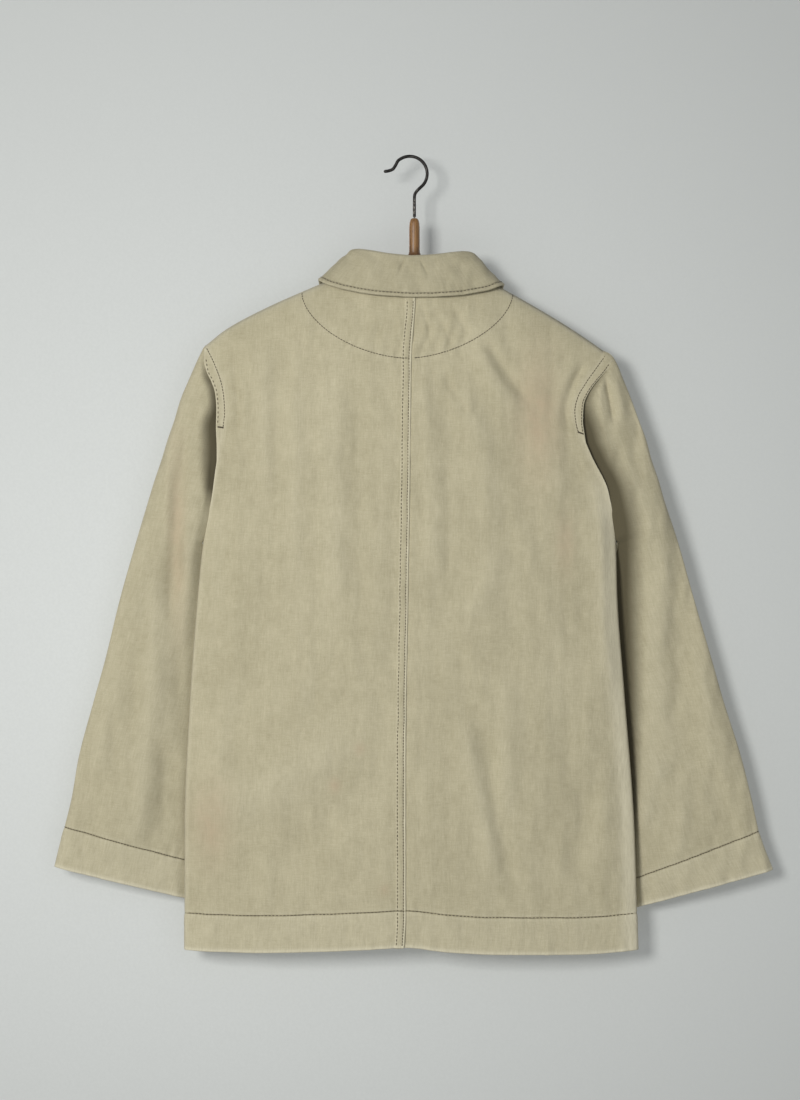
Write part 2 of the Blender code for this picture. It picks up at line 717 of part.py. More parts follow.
def make_collar(material):
    """Stand and fall in one folded strip that follows the neck seam."""
    seam, seam_normal, share = collar_stations()
    away = np.abs(share)
    sign = np.where(share < 0, -1.0, 1.0)
    knots = table_column(COLLAR_TABLE, COLLAR_COLUMNS, "along")

    def read(name):
        return smooth_between(knots, table_column(COLLAR_TABLE, COLLAR_COLUMNS, name), away)

    def placed(kind):
        x = COLLAR_CENTRE + sign * read(kind + "_x")
        z = read(kind + "_z") + COLLAR_TILT * (x - COLLAR_CENTRE)
        return np.stack([x, read(kind + "_y"), z], axis=-1)

    fold = placed("fold")
    edge = placed("edge")
    fold_line = np.gradient(fold, axis=0)
    outward = np.cross(fold_line, edge - fold)
    outward *= np.sign(np.sum(outward * (edge - seam), axis=-1, keepdims=True))
    outward /= np.linalg.norm(outward, axis=-1, keepdims=True)
    down = np.cross(outward, fold_line)
    down *= np.sign(np.sum(down * (edge - fold), axis=-1, keepdims=True))
    down /= np.linalg.norm(down, axis=-1, keepdims=True)
    inner_turn = fold - outward * COLLAR_FOLD_HALF + down * COLLAR_FOLD_DROP
    outer_turn = fold + outward * COLLAR_FOLD_HALF + down * COLLAR_FOLD_DROP
    mid_stand = seam + (inner_turn - seam) * 0.5
    mid_fall = (outer_turn + edge) / 2 + outward * COLLAR_FALL_BOW
    middle = np.stack([seam, mid_stand, inner_turn, fold, outer_turn, mid_fall, edge], axis=1)
    along_step = np.gradient(middle, axis=0)
    across_step = np.gradient(middle, axis=1)
    normal = np.cross(along_step, across_step)
    normal /= np.linalg.norm(normal, axis=-1, keepdims=True)
    if np.sum(normal[:, 3, 2]) < 0:
        normal = -normal
    normal[:, 0] = -seam_normal
    half = CLOTH_WALL / 2
    return wall_between("collar", middle + normal * half, middle - normal * half,
                        material, mirror_from=len(share) // 2)


# ---------------------------------------------------------------- trims
def make_button(number, material):
    """A flat round button with eased rims, sewn to the outer front."""
    height = BUTTON_TOP - (number - 1) * BUTTON_STEP
    x = float(centre_x(height)) + 0.001
    cloth = float(body_depth("left", "front", np.asarray(x), np.asarray(height)))
    seat = cloth + SEAM_GAP / 2 + FRONT_LIFT + CLOTH_WALL / 2 + SEAM_GAP + 0.0001
    around = 24
    angle = np.arange(around) / around * 2 * math.pi
    profile = ((0.86, 0.0), (1.0, 0.22), (1.0, 0.70), (0.88, 1.0), (0.60, 0.80))
    rings = []
    for radius, up in profile:
        ring_x = x + BUTTON_RADIUS * radius * np.cos(angle)
        ring_z = height + BUTTON_RADIUS * radius * np.sin(angle)
        ring_y = np.full(around, seat + BUTTON_THICKNESS * up)
        rings.append(np.stack([ring_x, ring_y, ring_z], axis=-1))
    return solid_rings("button_%d" % number, rings, material)


def hook_path():
    """Hook wire: a flat tip, an S turn, the round bend and the straight shaft."""
    tip = [(-0.0286, -0.0153), (-0.0232, -0.0145), (-0.0185, -0.0126), (-0.0155, -0.0085)]
    bend = []
    for step in range(19):
        turn = math.radians(132 - step * (132 + 52) / 18)
        bend.append((HOOK_CENTRE[0] + HOOK_RADIUS * math.cos(turn),
                     HOOK_CENTRE[1] + HOOK_RADIUS * math.sin(turn)))
    shaft = [(0.0082, -0.0368), (0.0060, -0.0402), (SHAFT_X, -0.0440),
             (SHAFT_X, -0.0540), (SHAFT_X, SHAFT_FOOT)]
    return np.array(tip + bend + shaft)


def make_hook(material):
    """Round wire swept along the hook's path."""
    path = hook_path()
    tangent = np.gradient(path, axis=0)
    tangent /= np.linalg.norm(tangent, axis=1, keepdims=True)
    across = np.stack([tangent[:, 1], -tangent[:, 0]], axis=1)
    around = 12
    angle = np.arange(around) / around * 2 * math.pi
    rings = []
    for place, (spot, side) in enumerate(zip(path, across)):
        radius = HOOK_WIRE * (0.72 if place == 0 else 1.0)
        x = spot[0] + side[0] * radius * np.cos(angle)
        z = spot[1] + side[1] * radius * np.cos(angle)
        rings.append(np.stack([x, radius * np.sin(angle), z], axis=-1))
    return solid_rings("hanger_hook", rings, material)


def make_hanger_neck(material):
    """Turned wooden neck: a bullet top, a plain barrel and a flared foot."""
    profile = (
        (0.0022, 0.0000), (0.0040, 0.0018), (0.0052, 0.0060), (0.0056, 0.0120),
        (0.0056, 0.0330), (0.0060, 0.0385), (0.0080, 0.0415), (0.0088, 0.0430),
    )
    around = 20
    angle = np.arange(around) / around * 2 * math.pi
    rings = []
    for radius, down in profile:
        x = SHAFT_X + radius * np.cos(angle)
        y = radius * np.sin(angle)
        z = np.full(around, NECK_TOP - down)
        rings.append(np.stack([x, y, z], axis=-1))
    return solid_rings("hanger_neck", rings, material)


def make_hanger_body(material):
    """Wishbone hanger inside the shoulders: rounded sections along its arms."""
    reach = np.array([1.0, 0.985, 0.93, 0.80, 0.64, 0.48, 0.34, 0.22, 0.12, 0.05])
    stations = np.concatenate([-reach, [0.0], reach[::-1]])
    around = 12
    angle = np.arange(around) / around * 2 * math.pi
    rings = []
    for share in stations:
        side = "left" if share < 0 else "right"
        x = SHAFT_X + share * HANGER_REACH
        out = abs(share)
        line = float(shoulder_height(side, x)) - HANGER_DROP
        crest = NECK_FOOT - SEAM_GAP
        top = min(line, crest - 0.14 * (out * HANGER_REACH) ** 1.0)
        if out < 0.06:
            top = crest
        tall = 0.0230 - 0.0080 * out
        thick = 0.0100 - 0.0030 * out
        if out > 0.98:
            tall *= 0.86 if out < 0.99 else 0.55
            thick *= 0.86 if out < 0.99 else 0.55
        middle = top - tall / 2 - (0.0 if out <= 0.98 else 0.0010)
        squash_y = np.sign(np.cos(angle)) * np.abs(np.cos(angle)) ** 0.7
        squash_z = np.sign(np.sin(angle)) * np.abs(np.sin(angle)) ** 0.7
        y = thick / 2 * squash_y
        z = middle + tall / 2 * squash_z
        rings.append(np.stack([np.full(around, x), y, z], axis=-1))
    return solid_rings("hanger_body", rings, material)


def main():
    """Build every piece of the jacket and its hanger."""
    clear_scene()
    for side in ("left", "right"):
        for face in ("back", "front"):
            make_panel(side, face, make_material("denim", 0.9, 0.0))
        make_sleeve(side, make_material("denim", 0.9, 0.0))
    make_collar(make_material("denim", 0.9, 0.0))
    for number in range(1, BUTTON_COUNT + 1):
        make_button(number, make_material("button", 0.5, 0.0))
    make_hook(make_material("hook_wire", 0.45, 1.0))
    make_hanger_neck(make_material("hanger_wood", 0.4, 0.0))
    make_hanger_body(make_material("hanger_wood", 0.4, 0.0))


main()
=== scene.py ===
"""Looks of a hung denim work jacket: cloth shells, topstitching, buttons and
the wooden hanger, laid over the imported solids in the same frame."""

import math

import bpy
import numpy as np
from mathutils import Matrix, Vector


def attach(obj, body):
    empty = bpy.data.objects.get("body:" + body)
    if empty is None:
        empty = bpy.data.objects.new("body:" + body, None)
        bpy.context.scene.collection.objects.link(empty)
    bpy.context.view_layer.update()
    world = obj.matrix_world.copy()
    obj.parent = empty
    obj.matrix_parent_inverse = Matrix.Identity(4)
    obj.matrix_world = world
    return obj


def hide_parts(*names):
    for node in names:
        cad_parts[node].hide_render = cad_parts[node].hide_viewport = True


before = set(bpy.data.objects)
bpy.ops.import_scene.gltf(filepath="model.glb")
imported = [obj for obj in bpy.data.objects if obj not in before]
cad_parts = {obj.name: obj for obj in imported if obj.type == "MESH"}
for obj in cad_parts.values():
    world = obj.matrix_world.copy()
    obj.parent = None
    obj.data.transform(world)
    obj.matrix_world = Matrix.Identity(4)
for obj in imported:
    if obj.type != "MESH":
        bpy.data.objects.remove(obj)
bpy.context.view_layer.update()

# Which way lies outward, in x for a side and in y for a face.
SIGN = {"left": -1.0, "right": 1.0}
WAY = {"back": -1.0, "front": 1.0}

# ----------------------------------- sizes in metres, counts, shares and powers
CLOTH_HALF = 0.0006
SEAM_GAP = 0.0003
DEPTH_CHEST = 0.0205
DEPTH_HEM = 0.0175
SHOULDER_ROUNDING = 0.080
ARMHOLE_HALF_DEPTH = 0.0105
HEM_HEIGHT = -0.8744
UNDERARM_HEIGHT = -0.4250
CENTRE_HEM_HEIGHT = -0.8700
NECK_HEIGHT = {"back": -0.1400, "front": -0.2050}
NECK_SIDE = {"left": -0.0700, "right": 0.0746}
FRONT_LAP = 0.0200
FRONT_LIFT = 0.0023
LAP_START = 0.0600
LAP_RUN = 0.0340
NECK_SHARE = 0.66
NECK_CURVE_END = 5 / 6
FRONT_NECK_EASE = 1.25
FRONT_NECK_SLANT = 0.7
FRONT_NECK_MEET = 0.0012

HEM_BAND = 0.0405
HEM_SWELL = 0.000495
GROOVE = 0.00042
GROOVE_HALF = 0.0011
TURNED_EDGE = 0.0115
FELL_WIDTH = 0.0095
FELL_RISE = 0.0014
FELL_TUCK = 0.0030
FELL_ROWS = (0.0022, 0.0086)
EDGE_ROWS = (0.0040, 0.0360)
FACING_WIDTH = 0.0370
PANEL_LENGTH = 0.72
FELL_FOOT = -0.345
FELL_SHARE = 0.085

STITCH_LENGTH = 0.0031
STITCH_STEP = 0.0041
CLOSE_STEP = 0.0033
TACK_STEP = 0.0022
STITCH_HALF = 0.00048
STITCH_SKEW = 0.05
STITCH_SPREAD = 0.06
SLOPE_STEP = 0.001
FOLD_STRENGTH = 1.7
FADED_FOLD = 30.0
FADED_MOST = 0.005

BUTTON_RADIUS = 0.0088
BUTTON_THICKNESS = 0.0034
BUTTON_TOP = -0.2350
BUTTON_STEP = 0.1360
BUTTON_COUNT = 5
BUTTON_STAND = 0.0004
BUTTON_HOLE_GAP = 0.0019
BUTTON_HOLE_RADIUS = 0.00085
BUTTON_HOLE_DEPTH = 0.0016
BUTTON_OFFSET = 0.0010
BUTTONHOLE_OFFSET = 0.0035
BUTTONHOLE_HALF = (0.0105, 0.0016)
BUTTONHOLE_STEP = 0.0012
BUTTONHOLE_STITCH = 0.0011
THREAD_SHIFT = 0.00022

HOOK_WIRE = 0.00178
HOOK_CENTRE = (0.0003, -0.0176)
HOOK_RADIUS = 0.01925
SHAFT_X = 0.0054
NECK_TOP = -0.0667
NECK_FOOT = -0.1097
HANGER_REACH = 0.1850
HANGER_DROP = 0.0062
HANGER_SLOPE = 0.14
HANGER_PEAK = 0.012
HANGER_TALL = (0.0230, 0.0080)
HANGER_THICK = (0.0100, 0.0030)
HANGER_END = 0.955
HANGER_SQUARE = 0.75

RIM_BULGE = 0.38
COLLAR_HALF = 0.0012
COLLAR_CENTRE = 0.0023
COLLAR_TILT = -0.022
COLLAR_FOLD_HALF = 0.0022
COLLAR_FOLD_DROP = 0.0026
COLLAR_FALL_BOW = 0.0012
COLLAR_ROW = 0.0039
COLLAR_END_ROW = 0.0045
COLLAR_FALL_FROM = 34
COLLAR_CREASES = ((-0.0085, 0.45), (0.0150, -0.45))

SLEEVE_OPEN_ROWS = 62
SLEEVE_CLOSED_ROWS = 150
SLEEVE_CUFF_ROWS = 54
SLEEVE_CUFF_REACH = 0.062
SLEEVE_HALF_COLUMNS = 78
SLEEVE_LEAN = 0.13
SLEEVE_TUCK = 0.0040
SLEEVE_ROW_EASE = 1.15
SLEEVE_COLUMN_EASE = 0.55
DIP_RISE = 1.6
# Painted shade beside the body on the sleeves: its fade-out as a share of the reach, and
# its strength.
PAINTED_SHADE_RISE = 2.0
PAINTED_SHADE_GAIN = 1.2
CUFF_BANDS = {"left": (0.0400, 0.0450), "right": (0.0290, 0.0450)}
ARMHOLE_STEPS = {"left": 0.0050, "right": 0.0034}

HALF_MOON_CENTRE = -0.0023
HALF_MOON_HALF_WIDTH = 0.1163
HALF_MOON_TOP = -0.1500
HALF_MOON_DEPTH = 0.0730
HALF_MOON_POWER = 1.75

# Cut sizes of the cloth pieces, width and length, and their areas.
PANEL_CUT = {"back": (0.262, 0.812), "front": (0.285, 0.800)}
PANEL_AREA = {"back": 0.172, "front": 0.176}
SLEEVE_CUT, SLEEVE_AREA = (0.360, 0.600), 0.158
COLLAR_CUT, COLLAR_AREA = (0.420, 0.100), 0.036

# Colours, as light reflected in red, green and blue.
DENIM_DARK = (0.345, 0.312, 0.205)
DENIM_LIGHT = (0.520, 0.478, 0.335)
DENIM_FADED = (0.610, 0.572, 0.430)
# Painted shade: the colour that shadow and occlusion in gaps and grooves are painted
# towards.
DENIM_PAINTED_SHADE = (0.088, 0.076, 0.044)
DENIM_STAIN = (0.430, 0.330, 0.225)
DENIM_SHEEN = (0.86, 0.82, 0.70, 1.0)
THREAD_DARK = (0.046, 0.036, 0.019)
THREAD_LIGHT = (0.105, 0.084, 0.048)
WOOD_DARK = (0.130, 0.058, 0.018)
WOOD_LIGHT = (0.330, 0.178, 0.062)
WOOD_FLARE = (0.070, 0.030, 0.011)
WOOD_PORE = (0.050, 0.022, 0.009)
WIRE_DARK = (0.012, 0.011, 0.010)
WIRE_BARE = (0.24, 0.225, 0.20)
BUTTON_DARK = (0.045, 0.026, 0.014)
BUTTON_LIGHT = (0.17, 0.105, 0.058)
WALL_COLOUR = (0.480, 0.498, 0.490)
# The wall glows: painted light that lightens the jacket's shadows on it.
WALL_GLOW = 0.150
# Share of the wall's colour far from its painted pool of light: painted shade towards its
# edges.
WALL_PAINTED_DIMMING = 0.72
FLOOR_COLOUR = (0.620, 0.615, 0.600)
TWILL_SCALE = 330.0

WALL_AT = 0.040
# Centre of the painted pool of light on the wall.
WALL_PAINTED_LIGHT_AT = (-0.20, WALL_AT, -0.56)
FLOOR_AT = -1.150
WALL_HALF, WALL_TOP = 3.2, 1.9
FLOOR_HALF = (4.0, 4.5)
CAMERA_AT = (-0.0105, -2.870, -0.4334)
LIGHTS_AIM = (0.0, 0.0, -0.45)
KEY_POWER = 76.5
FILL_POWER = 9.0
BACK_POWER = 22.0
WORLD_COLOUR = (0.93, 0.96, 1.0, 1.0)
WORLD_STRENGTH = 0.25


# --------------------------------------------------------------------- tables
def table(text):
    """Named columns as arrays, from a first line of names and rows of numbers in
    thousandths: lengths are written in millimetres and come out in metres."""
    names, *rows = [line.split() for line in text.strip().splitlines()]
    numbers = np.array([[float(word + "e-3") for word in row] for row in rows])
    return dict(zip(names, numbers.T))


# Outer edge of the felled armhole seam, which lies over the sleeve.
ARMHOLE_FELL = {"left": table("""
height x
-335 -212
-320 -212
-298 -212.8
-277.6 -212.4
-260.7 -213.8
-247.3 -218.2
-237 -223.2
-222 -226.2
-208.6 -226.2
"""), "right": table("""
height x
-335 199
-318 194.5
-305.4 192.4
-291.1 190.6
-274.2 191.5
-262.5 195.7
-249 204.8
-237.2 214.9
-230 219
-221 223.5
""")}

# Its two rows of stitches, from the shoulder tip down.
ARMHOLE_ROWS = {"left": (table("""
x height
-224 -210.6
-218.8 -220.3
-212.1 -235.5
-207 -250.7
-204.5 -265.9
-203.6 -280.9
-205.3 -298.7
"""), table("""
x height
-224.6 -222.2
-221.6 -237.2
-216.3 -247.3
-212.1 -260.7
-210.7 -277.6
-211.2 -297.8
""")),
                "right": (table("""
x height
216 -219
205.2 -233.9
193.4 -250.7
185 -265.9
181.9 -280.9
183.3 -294.5
185.8 -303.7
"""), table("""
x height
220 -228.5
213.6 -237.2
203.5 -249
194.3 -262.5
190.1 -274.2
189.2 -291.1
190.9 -305.4
"""))}

# How far a sleeve dips where the body's edge lies over it, half the width over
# which it rises again, and how strong the painted shade is there, standing in for
# the body's cast shadow and the occlusion in the gap.
SLEEVE_DIPS = {"left": table("""
height depth reach shade
-820 0 6 50
-700 0 6 100
-425 2 5 100
-385 3.2 5 350
-360 5.2 8 1000
-330 6.6 11.2 1000
-298 6.6 11.2 1000
-270 4.4 5.8 720
-245 3.4 5.6 650
-230 2.4 3.6 200
-208.6 1 3 0
"""), "right": table("""
height depth reach shade
-830 1 3 150
-760 2.4 3.6 600
-690 4 6.6 1000
-620 5.2 11 1000
-550 6 15 1000
-460 6.6 18 1000
-380 7 17.5 1000
-330 7 16.5 1000
-298 6.4 14.5 920
-268 4.8 7 600
-245 3.4 4.5 350
-221 1.2 3 0
""")}

# Faint rosy stains, with their half widths and half heights.
STAINS = table("""
x height wide tall strength
141.5 -286 22 62 550
-219 -735 20 44 500
171 -428 10 30 400
-82 -692 6 8 500
-54.5 -651 6 7 450
-27 -807 6 7 450
-256 -420 9 90 450
""")

# Edge of the body on each side. Above the underarm it is the armhole.
BODY_SIDES = table("""
height left right
-874.4 -248 252
-740 -248 247.8
-590 -241.5 236.5
-488 -233.8 229
-425 -227.5 227.3
-374 -217.8 219
-335 -212 200
-302 -206 187
-280 -203.6 182.2
-250 -207 193.5
-225 -216.5 211
-208.6 -225.5 224
""")

# Shoulder line from the armhole tip to the neck, then its straight run on to
# the centre, which only rounds the neck.
SHOULDERS = {"left": table("""
x height
-225.5 -208.6
-202 -190
-158 -166.4
-104.3 -142.6
-70 -128
5.4 -95
"""),
             "right": table("""
x height
5.4 -95
74.6 -130.8
105.8 -147
163.1 -180
196.8 -201.9
224 -221
""")}
TIP = {side: SHOULDERS[side]["height"].min() for side in SIGN}

# The centre-back seam, which leans a little, and the lower edge of the hem.
CENTRE_SEAM = table("""
height x
-874.4 -7
-830 -4.5
-664 -4.6
-488 -2.1
-334 0.4
-222 1.7
-155 5.9
-95 5.4
""")
HEM = table("""
x height
-248 -874.4
-176 -876.2
-106 -874.7
-53 -872.6
-7 -870
44 -875.2
99 -878
190 -878.4
252 -874.6
""")

# Outer fold of the sleeves, down from the shoulder tips.
SLEEVE_FOLD = table("""
height left right
-787.3 -393.4 402
-752 -384.8 388.5
-708 -373.8 378.3
-664 -366.1 367.3
-598 -348.4 346.5
-554 -336.2 334
-488 -320 314.5
-422 -301.2 295.7
-378 -288 281.2
-356 -281.2 274.8
-334 -273.7 267.2
-312 -267 261.2
-290 -259.4 253
-268 -252.8 245
-246 -243.6 236.2
-220.8 -232.4 224.7
-208.4 -226.2 207
""")

# Sleeves below the underarm: where each row leaves the outer fold, where it
# ends on the inner fold, which passes behind the body and lies over the front,
# and how thick the flattened sleeve is each way from its middle.
SLEEVES = {"left": table("""
outer_z outer_y inner_x inner_z inner_y half_depth
-405 3.5 -229.6 -425.4 0 10.5
-424 3.8 -226.8 -440 6 10
-443 4 -221.5 -458 13 10
-465 4.5 -208 -485 21.5 10
-490 5 -188 -518 28.5 10.5
-530 6 -172 -568 32.5 11
-606 7 -186 -650 32 12
-711 8.5 -213 -752 27 12
-748 9 -222 -788 25 11.5
-783.9 9 -231 -824 24 11
"""), "right": table("""
outer_z outer_y inner_x inner_z inner_y half_depth
-405 3.5 229.7 -425.4 0 10.5
-424 3.8 226.6 -440 6 10
-443 4 221 -458 13 10
-465 4.5 207 -485 21.5 10
-490 5 187 -518 28.5 10.5
-530 6 171 -568 32.5 11
-606 7 190 -653 32 12
-711 8.5 219 -756 27 12
-753 9 230 -798 25 11.5
-787.3 9 240 -833.5 24 11
""")}

# Collar from centre back (0) over the shoulder (0.5) to centre front (1): the
# fold line and the loose edge, as distances out from the collar's own centre.
COLLAR = table("""
along fold_x fold_y fold_z edge_x edge_y edge_z
0 0 -18.6 -111 0 -24.6 -155.6
170 23.5 -17.8 -109.2 40 -23.6 -153.5
330 45 -14.2 -105.8 74 -18.8 -148
450 59 -6.5 -103.8 95.5 -10.6 -141.2
500 61 0 -105.5 102 0 -137.5
550 62 8.5 -108.5 101 11.5 -142
700 58 19 -129 97 22.5 -168
850 39 25 -167 82 26.8 -212
1000 6 27.5 -196 58 28.5 -250
""")

# Soft folds, each along a gentle curve through three points, with the width of
# its bell and how far it stands out (negative for a trough).
BODY_FOLDS = {"back": table("""
x1 z1 x2 z2 x3 z3 width rise
-161 -190 -160 -300 -160 -400 12 2.1
-125 -215 -126 -340 -124 -500 12 1.7
-83 -190 -82 -360 -80 -520 16 2.1
-58 -250 -56 -380 -58 -500 11 -1.2
-201 -225 -199 -260 -198 -300 8 1.2
-215 -385 -216 -440 -216 -510 11 1.4
-50 -612 -140 -690 -244 -722 27 3.1
-20 -660 -95 -745 -190 -790 23 -1.8
-104 -545 -112 -578 -121 -612 10 1.2
-165 -470 -170 -560 -185 -650 15 -1.2
-200 -560 -205 -640 -212 -700 12 1.2
-95 -815.5 -64 -815 -34 -816 5.5 0.9
-150 -740 -155 -790 -160 -845 12 1.1
7 -220 26 -350 26 -500 11 1.6
40 -238 84 -335 88 -430 13 1.9
88 -420 86 -470 48 -515 13 1.8
70 -205 94 -246 128 -290 11 1.7
82 -200 103 -235 138 -278 7 -2
50 -605 78 -700 97 -822 12.5 2.9
75 -620 96 -720 112 -822 11 -1.6
105 -555 106 -650 101 -755 11 1.7
209 -365 217 -480 223 -620 16 2.1
150 -440 160 -560 165 -660 16 1.2
200 -680 190 -740 175 -812 13 -2.2
216 -650 217 -700 216 -750 11 1.3
18 -700 22 -770 20 -840 13 1
150 -300 160 -340 166 -390 13 1.2
-30 -320 -32 -450 -36 -600 14 0.9
199 -222 178 -262 177 -306 5.5 -2.2
190 -216 166 -262 166 -312 7 1.1
-193 -232 -190 -268 -190 -310 5 -1.3
-183 -240 -181 -276 -184 -318 4.5 0.9
26 -168 38 -190 50 -216 3.5 -1.1
46 -160 56 -182 70 -202 3.5 -1
12 -164 20 -186 24 -214 3 -0.8
34 -228 50 -262 70 -292 4.5 -1
-30 -182 -38 -200 -40 -216 4 -0.7
"""), "front": table("""
x1 z1 x2 z2 x3 z3 width rise
-150 -200 -150 -330 -156 -470 13 2.2
-110 -240 -106 -380 -112 -520 14 -1.8
-75 -300 -70 -420 -66 -560 13 1.5
-60 -600 -110 -690 -190 -740 24 2.6
-175 -520 -182 -640 -190 -780 15 -1.9
-120 -640 -118 -730 -112 -820 13 1.9
80 -230 92 -340 86 -450 13 2
125 -210 130 -330 124 -480 14 -1.9
160 -260 166 -360 160 -470 12 1.5
60 -560 85 -680 100 -810 14 2.6
110 -540 130 -660 150 -800 14 -1.9
205 -450 200 -590 190 -720 14 1.8
""")}
SLEEVE_FOLDS = {"left": table("""
x1 z1 x2 z2 x3 z3 width rise
-286 -420 -279 -560 -288 -660 17 3.2
-288 -640 -296 -710 -318 -768 15 2.8
-248 -310 -256 -400 -267 -530 9.5 -2.2
-236 -400 -243 -480 -250 -560 12 1.8
-320 -560 -334 -630 -345 -690 13 1.6
-262 -640 -270 -700 -272 -760 12 -1.8
-240 -250 -256 -310 -270 -370 10 1.2
-350 -660 -352 -720 -362 -770 12 -1.4
"""),
                "right": table("""
x1 z1 x2 z2 x3 z3 width rise
270 -350 274 -500 272 -670 17 3
272 -650 266 -700 252 -750 14 2.6
292 -400 300 -520 296 -640 13 -1.8
318 -520 330 -620 350 -700 14 1.8
292 -680 300 -730 304 -790 13 1.9
330 -660 346 -720 352 -780 12 -1.6
238 -262 250 -320 262 -380 10 -1.4
214 -237 220.6 -268.4 224.5 -295 3 -1.8
206 -250 210.5 -272 214 -302 5 1.3
225 -240 231 -266 235 -295 6 1.2
203.5 -250 206.5 -258 209 -266 1.4 -0.7
""")}
SLEEVE_FRONT_FOLDS = table("""
x1 z1 x2 z2 x3 z3 width rise
250 -280 268 -400 272 -530 15 2.6
222 -450 238 -560 262 -650 15 2.4
285 -420 296 -540 300 -650 13 -2
230 -620 262 -700 285 -780 14 2.2
320 -560 338 -660 352 -760 14 1.8
210 -540 222 -620 248 -720 12 -1.6
""")

# Half profile of a button, as shares of its radius and thickness, and that of
# the neck, as radius and distance down.
BUTTON_PROFILE = ((0, 0), (0.70, 0), (0.93, 0.10), (1, 0.38), (0.99, 0.72), (0.93, 0.97),
                  (0.84, 1), (0.74, 0.86), (0.62, 0.70), (0.30, 0.66), (0, 0.66))
NECK_PROFILE = ((0.0, 0.0), (0.0022, 0.0002), (0.0043, 0.0018), (0.0056, 0.0060),
                (0.0060, 0.0120), (0.0060, 0.0330), (0.0063, 0.0385), (0.0080, 0.0415),
                (0.0088, 0.0430), (0.0, 0.0430))

# The hook's tip and its turn into the shaft, in x and z.
HOOK_TIP = ((-0.0286, -0.0153), (-0.0232, -0.0145), (-0.0185, -0.0126), (-0.0155, -0.0085))
HOOK_SHAFT = ((0.0082, -0.0368), (0.0060, -0.0402), (SHAFT_X, -0.0440),
              (SHAFT_X, -0.0540), (SHAFT_X, -0.0664))


# ------------------------------------------------------------------- helpers
def soft_step(value):
    """0 below 0, 1 above 1, and 3t^2 - 2t^3 between."""
    part = np.clip(value, 0.0, 1.0)
    return part * part * (3 - 2 * part)


def bell(distance, width):
    """exp(-(distance / width)^2)."""
    return np.exp(-(distance / width) ** 2)


def smooth_between(knots, values, at):
    """Cubic through the knots whose slopes are harmonic means of the secants on
    each side, or flat where those differ in sign, so it never overshoots."""
    at = np.clip(np.asarray(at, float), knots[0], knots[-1])
    steps = np.diff(knots)
    secants = np.diff(values) / steps
    before, after = secants[:-1], secants[1:]
    same = before * after > 0
    inner = np.where(same, 2 * before * after / np.where(same, before + after, 1.0), 0.0)
    slopes = np.concatenate([secants[:1], inner, secants[-1:]])
    index = np.clip(np.searchsorted(knots, at, side="right") - 1, 0, len(steps) - 1)
    span = steps[index]
    part = (at - knots[index]) / span
    square, cube = part ** 2, part ** 3
    return (values[index] * (2 * cube - 3 * square + 1)
            + values[index + 1] * (3 * square - 2 * cube)
            + slopes[index] * span * (cube - 2 * square + part)
            + slopes[index + 1] * span * (cube - square))


def read(columns, name, at, by="height"):
    """A column of a table as a smooth curve over another."""
    return smooth_between(columns[by], columns[name], at)


def unit(vectors):
    """Vectors divided by their lengths."""
    length = np.linalg.norm(vectors, axis=-1, keepdims=True)
    return vectors / np.where(length > 0, length, 1.0)


def run_along(points):
    """Distance along a line of points, from 0."""
    steps = np.linalg.norm(np.diff(points, axis=0), axis=-1)
    return np.concatenate([[0], np.cumsum(steps)])


def smooth_run(knots, count):
    """A line run smoothly through its knots by distance along them."""
    knots = np.array(knots)
    at = run_along(knots)
    steps = np.linspace(0, at[-1], count)
    return np.stack([smooth_between(at, column, steps) for column in knots.T], axis=-1)


def waves(a, b, seed, count=14):
    """Sum of sines in random directions with wavelengths of 0.6 to 1.7 units,
    scaled to a spread of about one."""
    draw = np.random.default_rng(seed)
    turn = draw.uniform(0, math.pi, count)
    length = draw.uniform(0.6, 1.7, count)
    start = draw.uniform(0, 2 * math.pi, count)
    total = sum(np.sin(2 * math.pi * (a * math.cos(angle) + b * math.sin(angle)) / span
                       + phase) for angle, span, phase in zip(turn, length, start))
    return total / math.sqrt(count / 2)


def fold_field(folds, x, z, mirror=1.0):
    """Sum of soft folds. Each is rise * bell(distance to its curve, width), the
    curve being the quadratic one that passes through the row's three points,
    faded out over a quarter of its length at both ends."""
    total = np.zeros(np.broadcast(x, z).shape)
    t = np.linspace(0, 1, 15)[:, None]
    for x1, z1, x2, z2, x3, z3, width, rise in zip(*folds.values()):
        ends = np.array([[x1 * mirror, z1], [x2 * mirror, z2], [x3 * mirror, z3]])
        control = 2 * ends[1] - (ends[0] + ends[2]) / 2
        curve = (1 - t) ** 2 * ends[0] + 2 * t * (1 - t) * control + t ** 2 * ends[2]
        best, along = np.full(total.shape, 1e9), np.zeros(total.shape)
        for place, (start, way) in enumerate(zip(curve, np.diff(curve, axis=0))):
            part = ((x - start[0]) * way[0] + (z - start[1]) * way[1]) / np.dot(way, way)
            part = np.clip(part, 0.0, 1.0)
            gap_x, gap_z = x - start[0] - way[0] * part, z - start[1] - way[1] * part
            gap = gap_x ** 2 + gap_z ** 2
            nearer = gap < best
            best = np.where(nearer, gap, best)
            along = np.where(nearer, (place + part) / (len(t) - 1), along)
        fade = soft_step(along * 4) * soft_step((1 - along) * 4) * 0.9 + 0.1
        total = total + rise * np.exp(-best / width ** 2) * fade
    return total * FOLD_STRENGTH


# ----------------------------------------------------------------- body form
def side_x(side, height):
    """x of the side seam, or of the armhole above the underarm."""
    return read(BODY_SIDES, side, height)


def centre_x(height):
    """x of the centre-back seam at a height."""
    return read(CENTRE_SEAM, "x", height)


def shoulder_height(side, x):
    """Height of the shoulder line, run on straight to the centre."""
    return read(SHOULDERS[side], "height", x, by="x")


def hem_height(x):
    """Height of the hem's lower edge."""
    return read(HEM, "height", x, by="x")


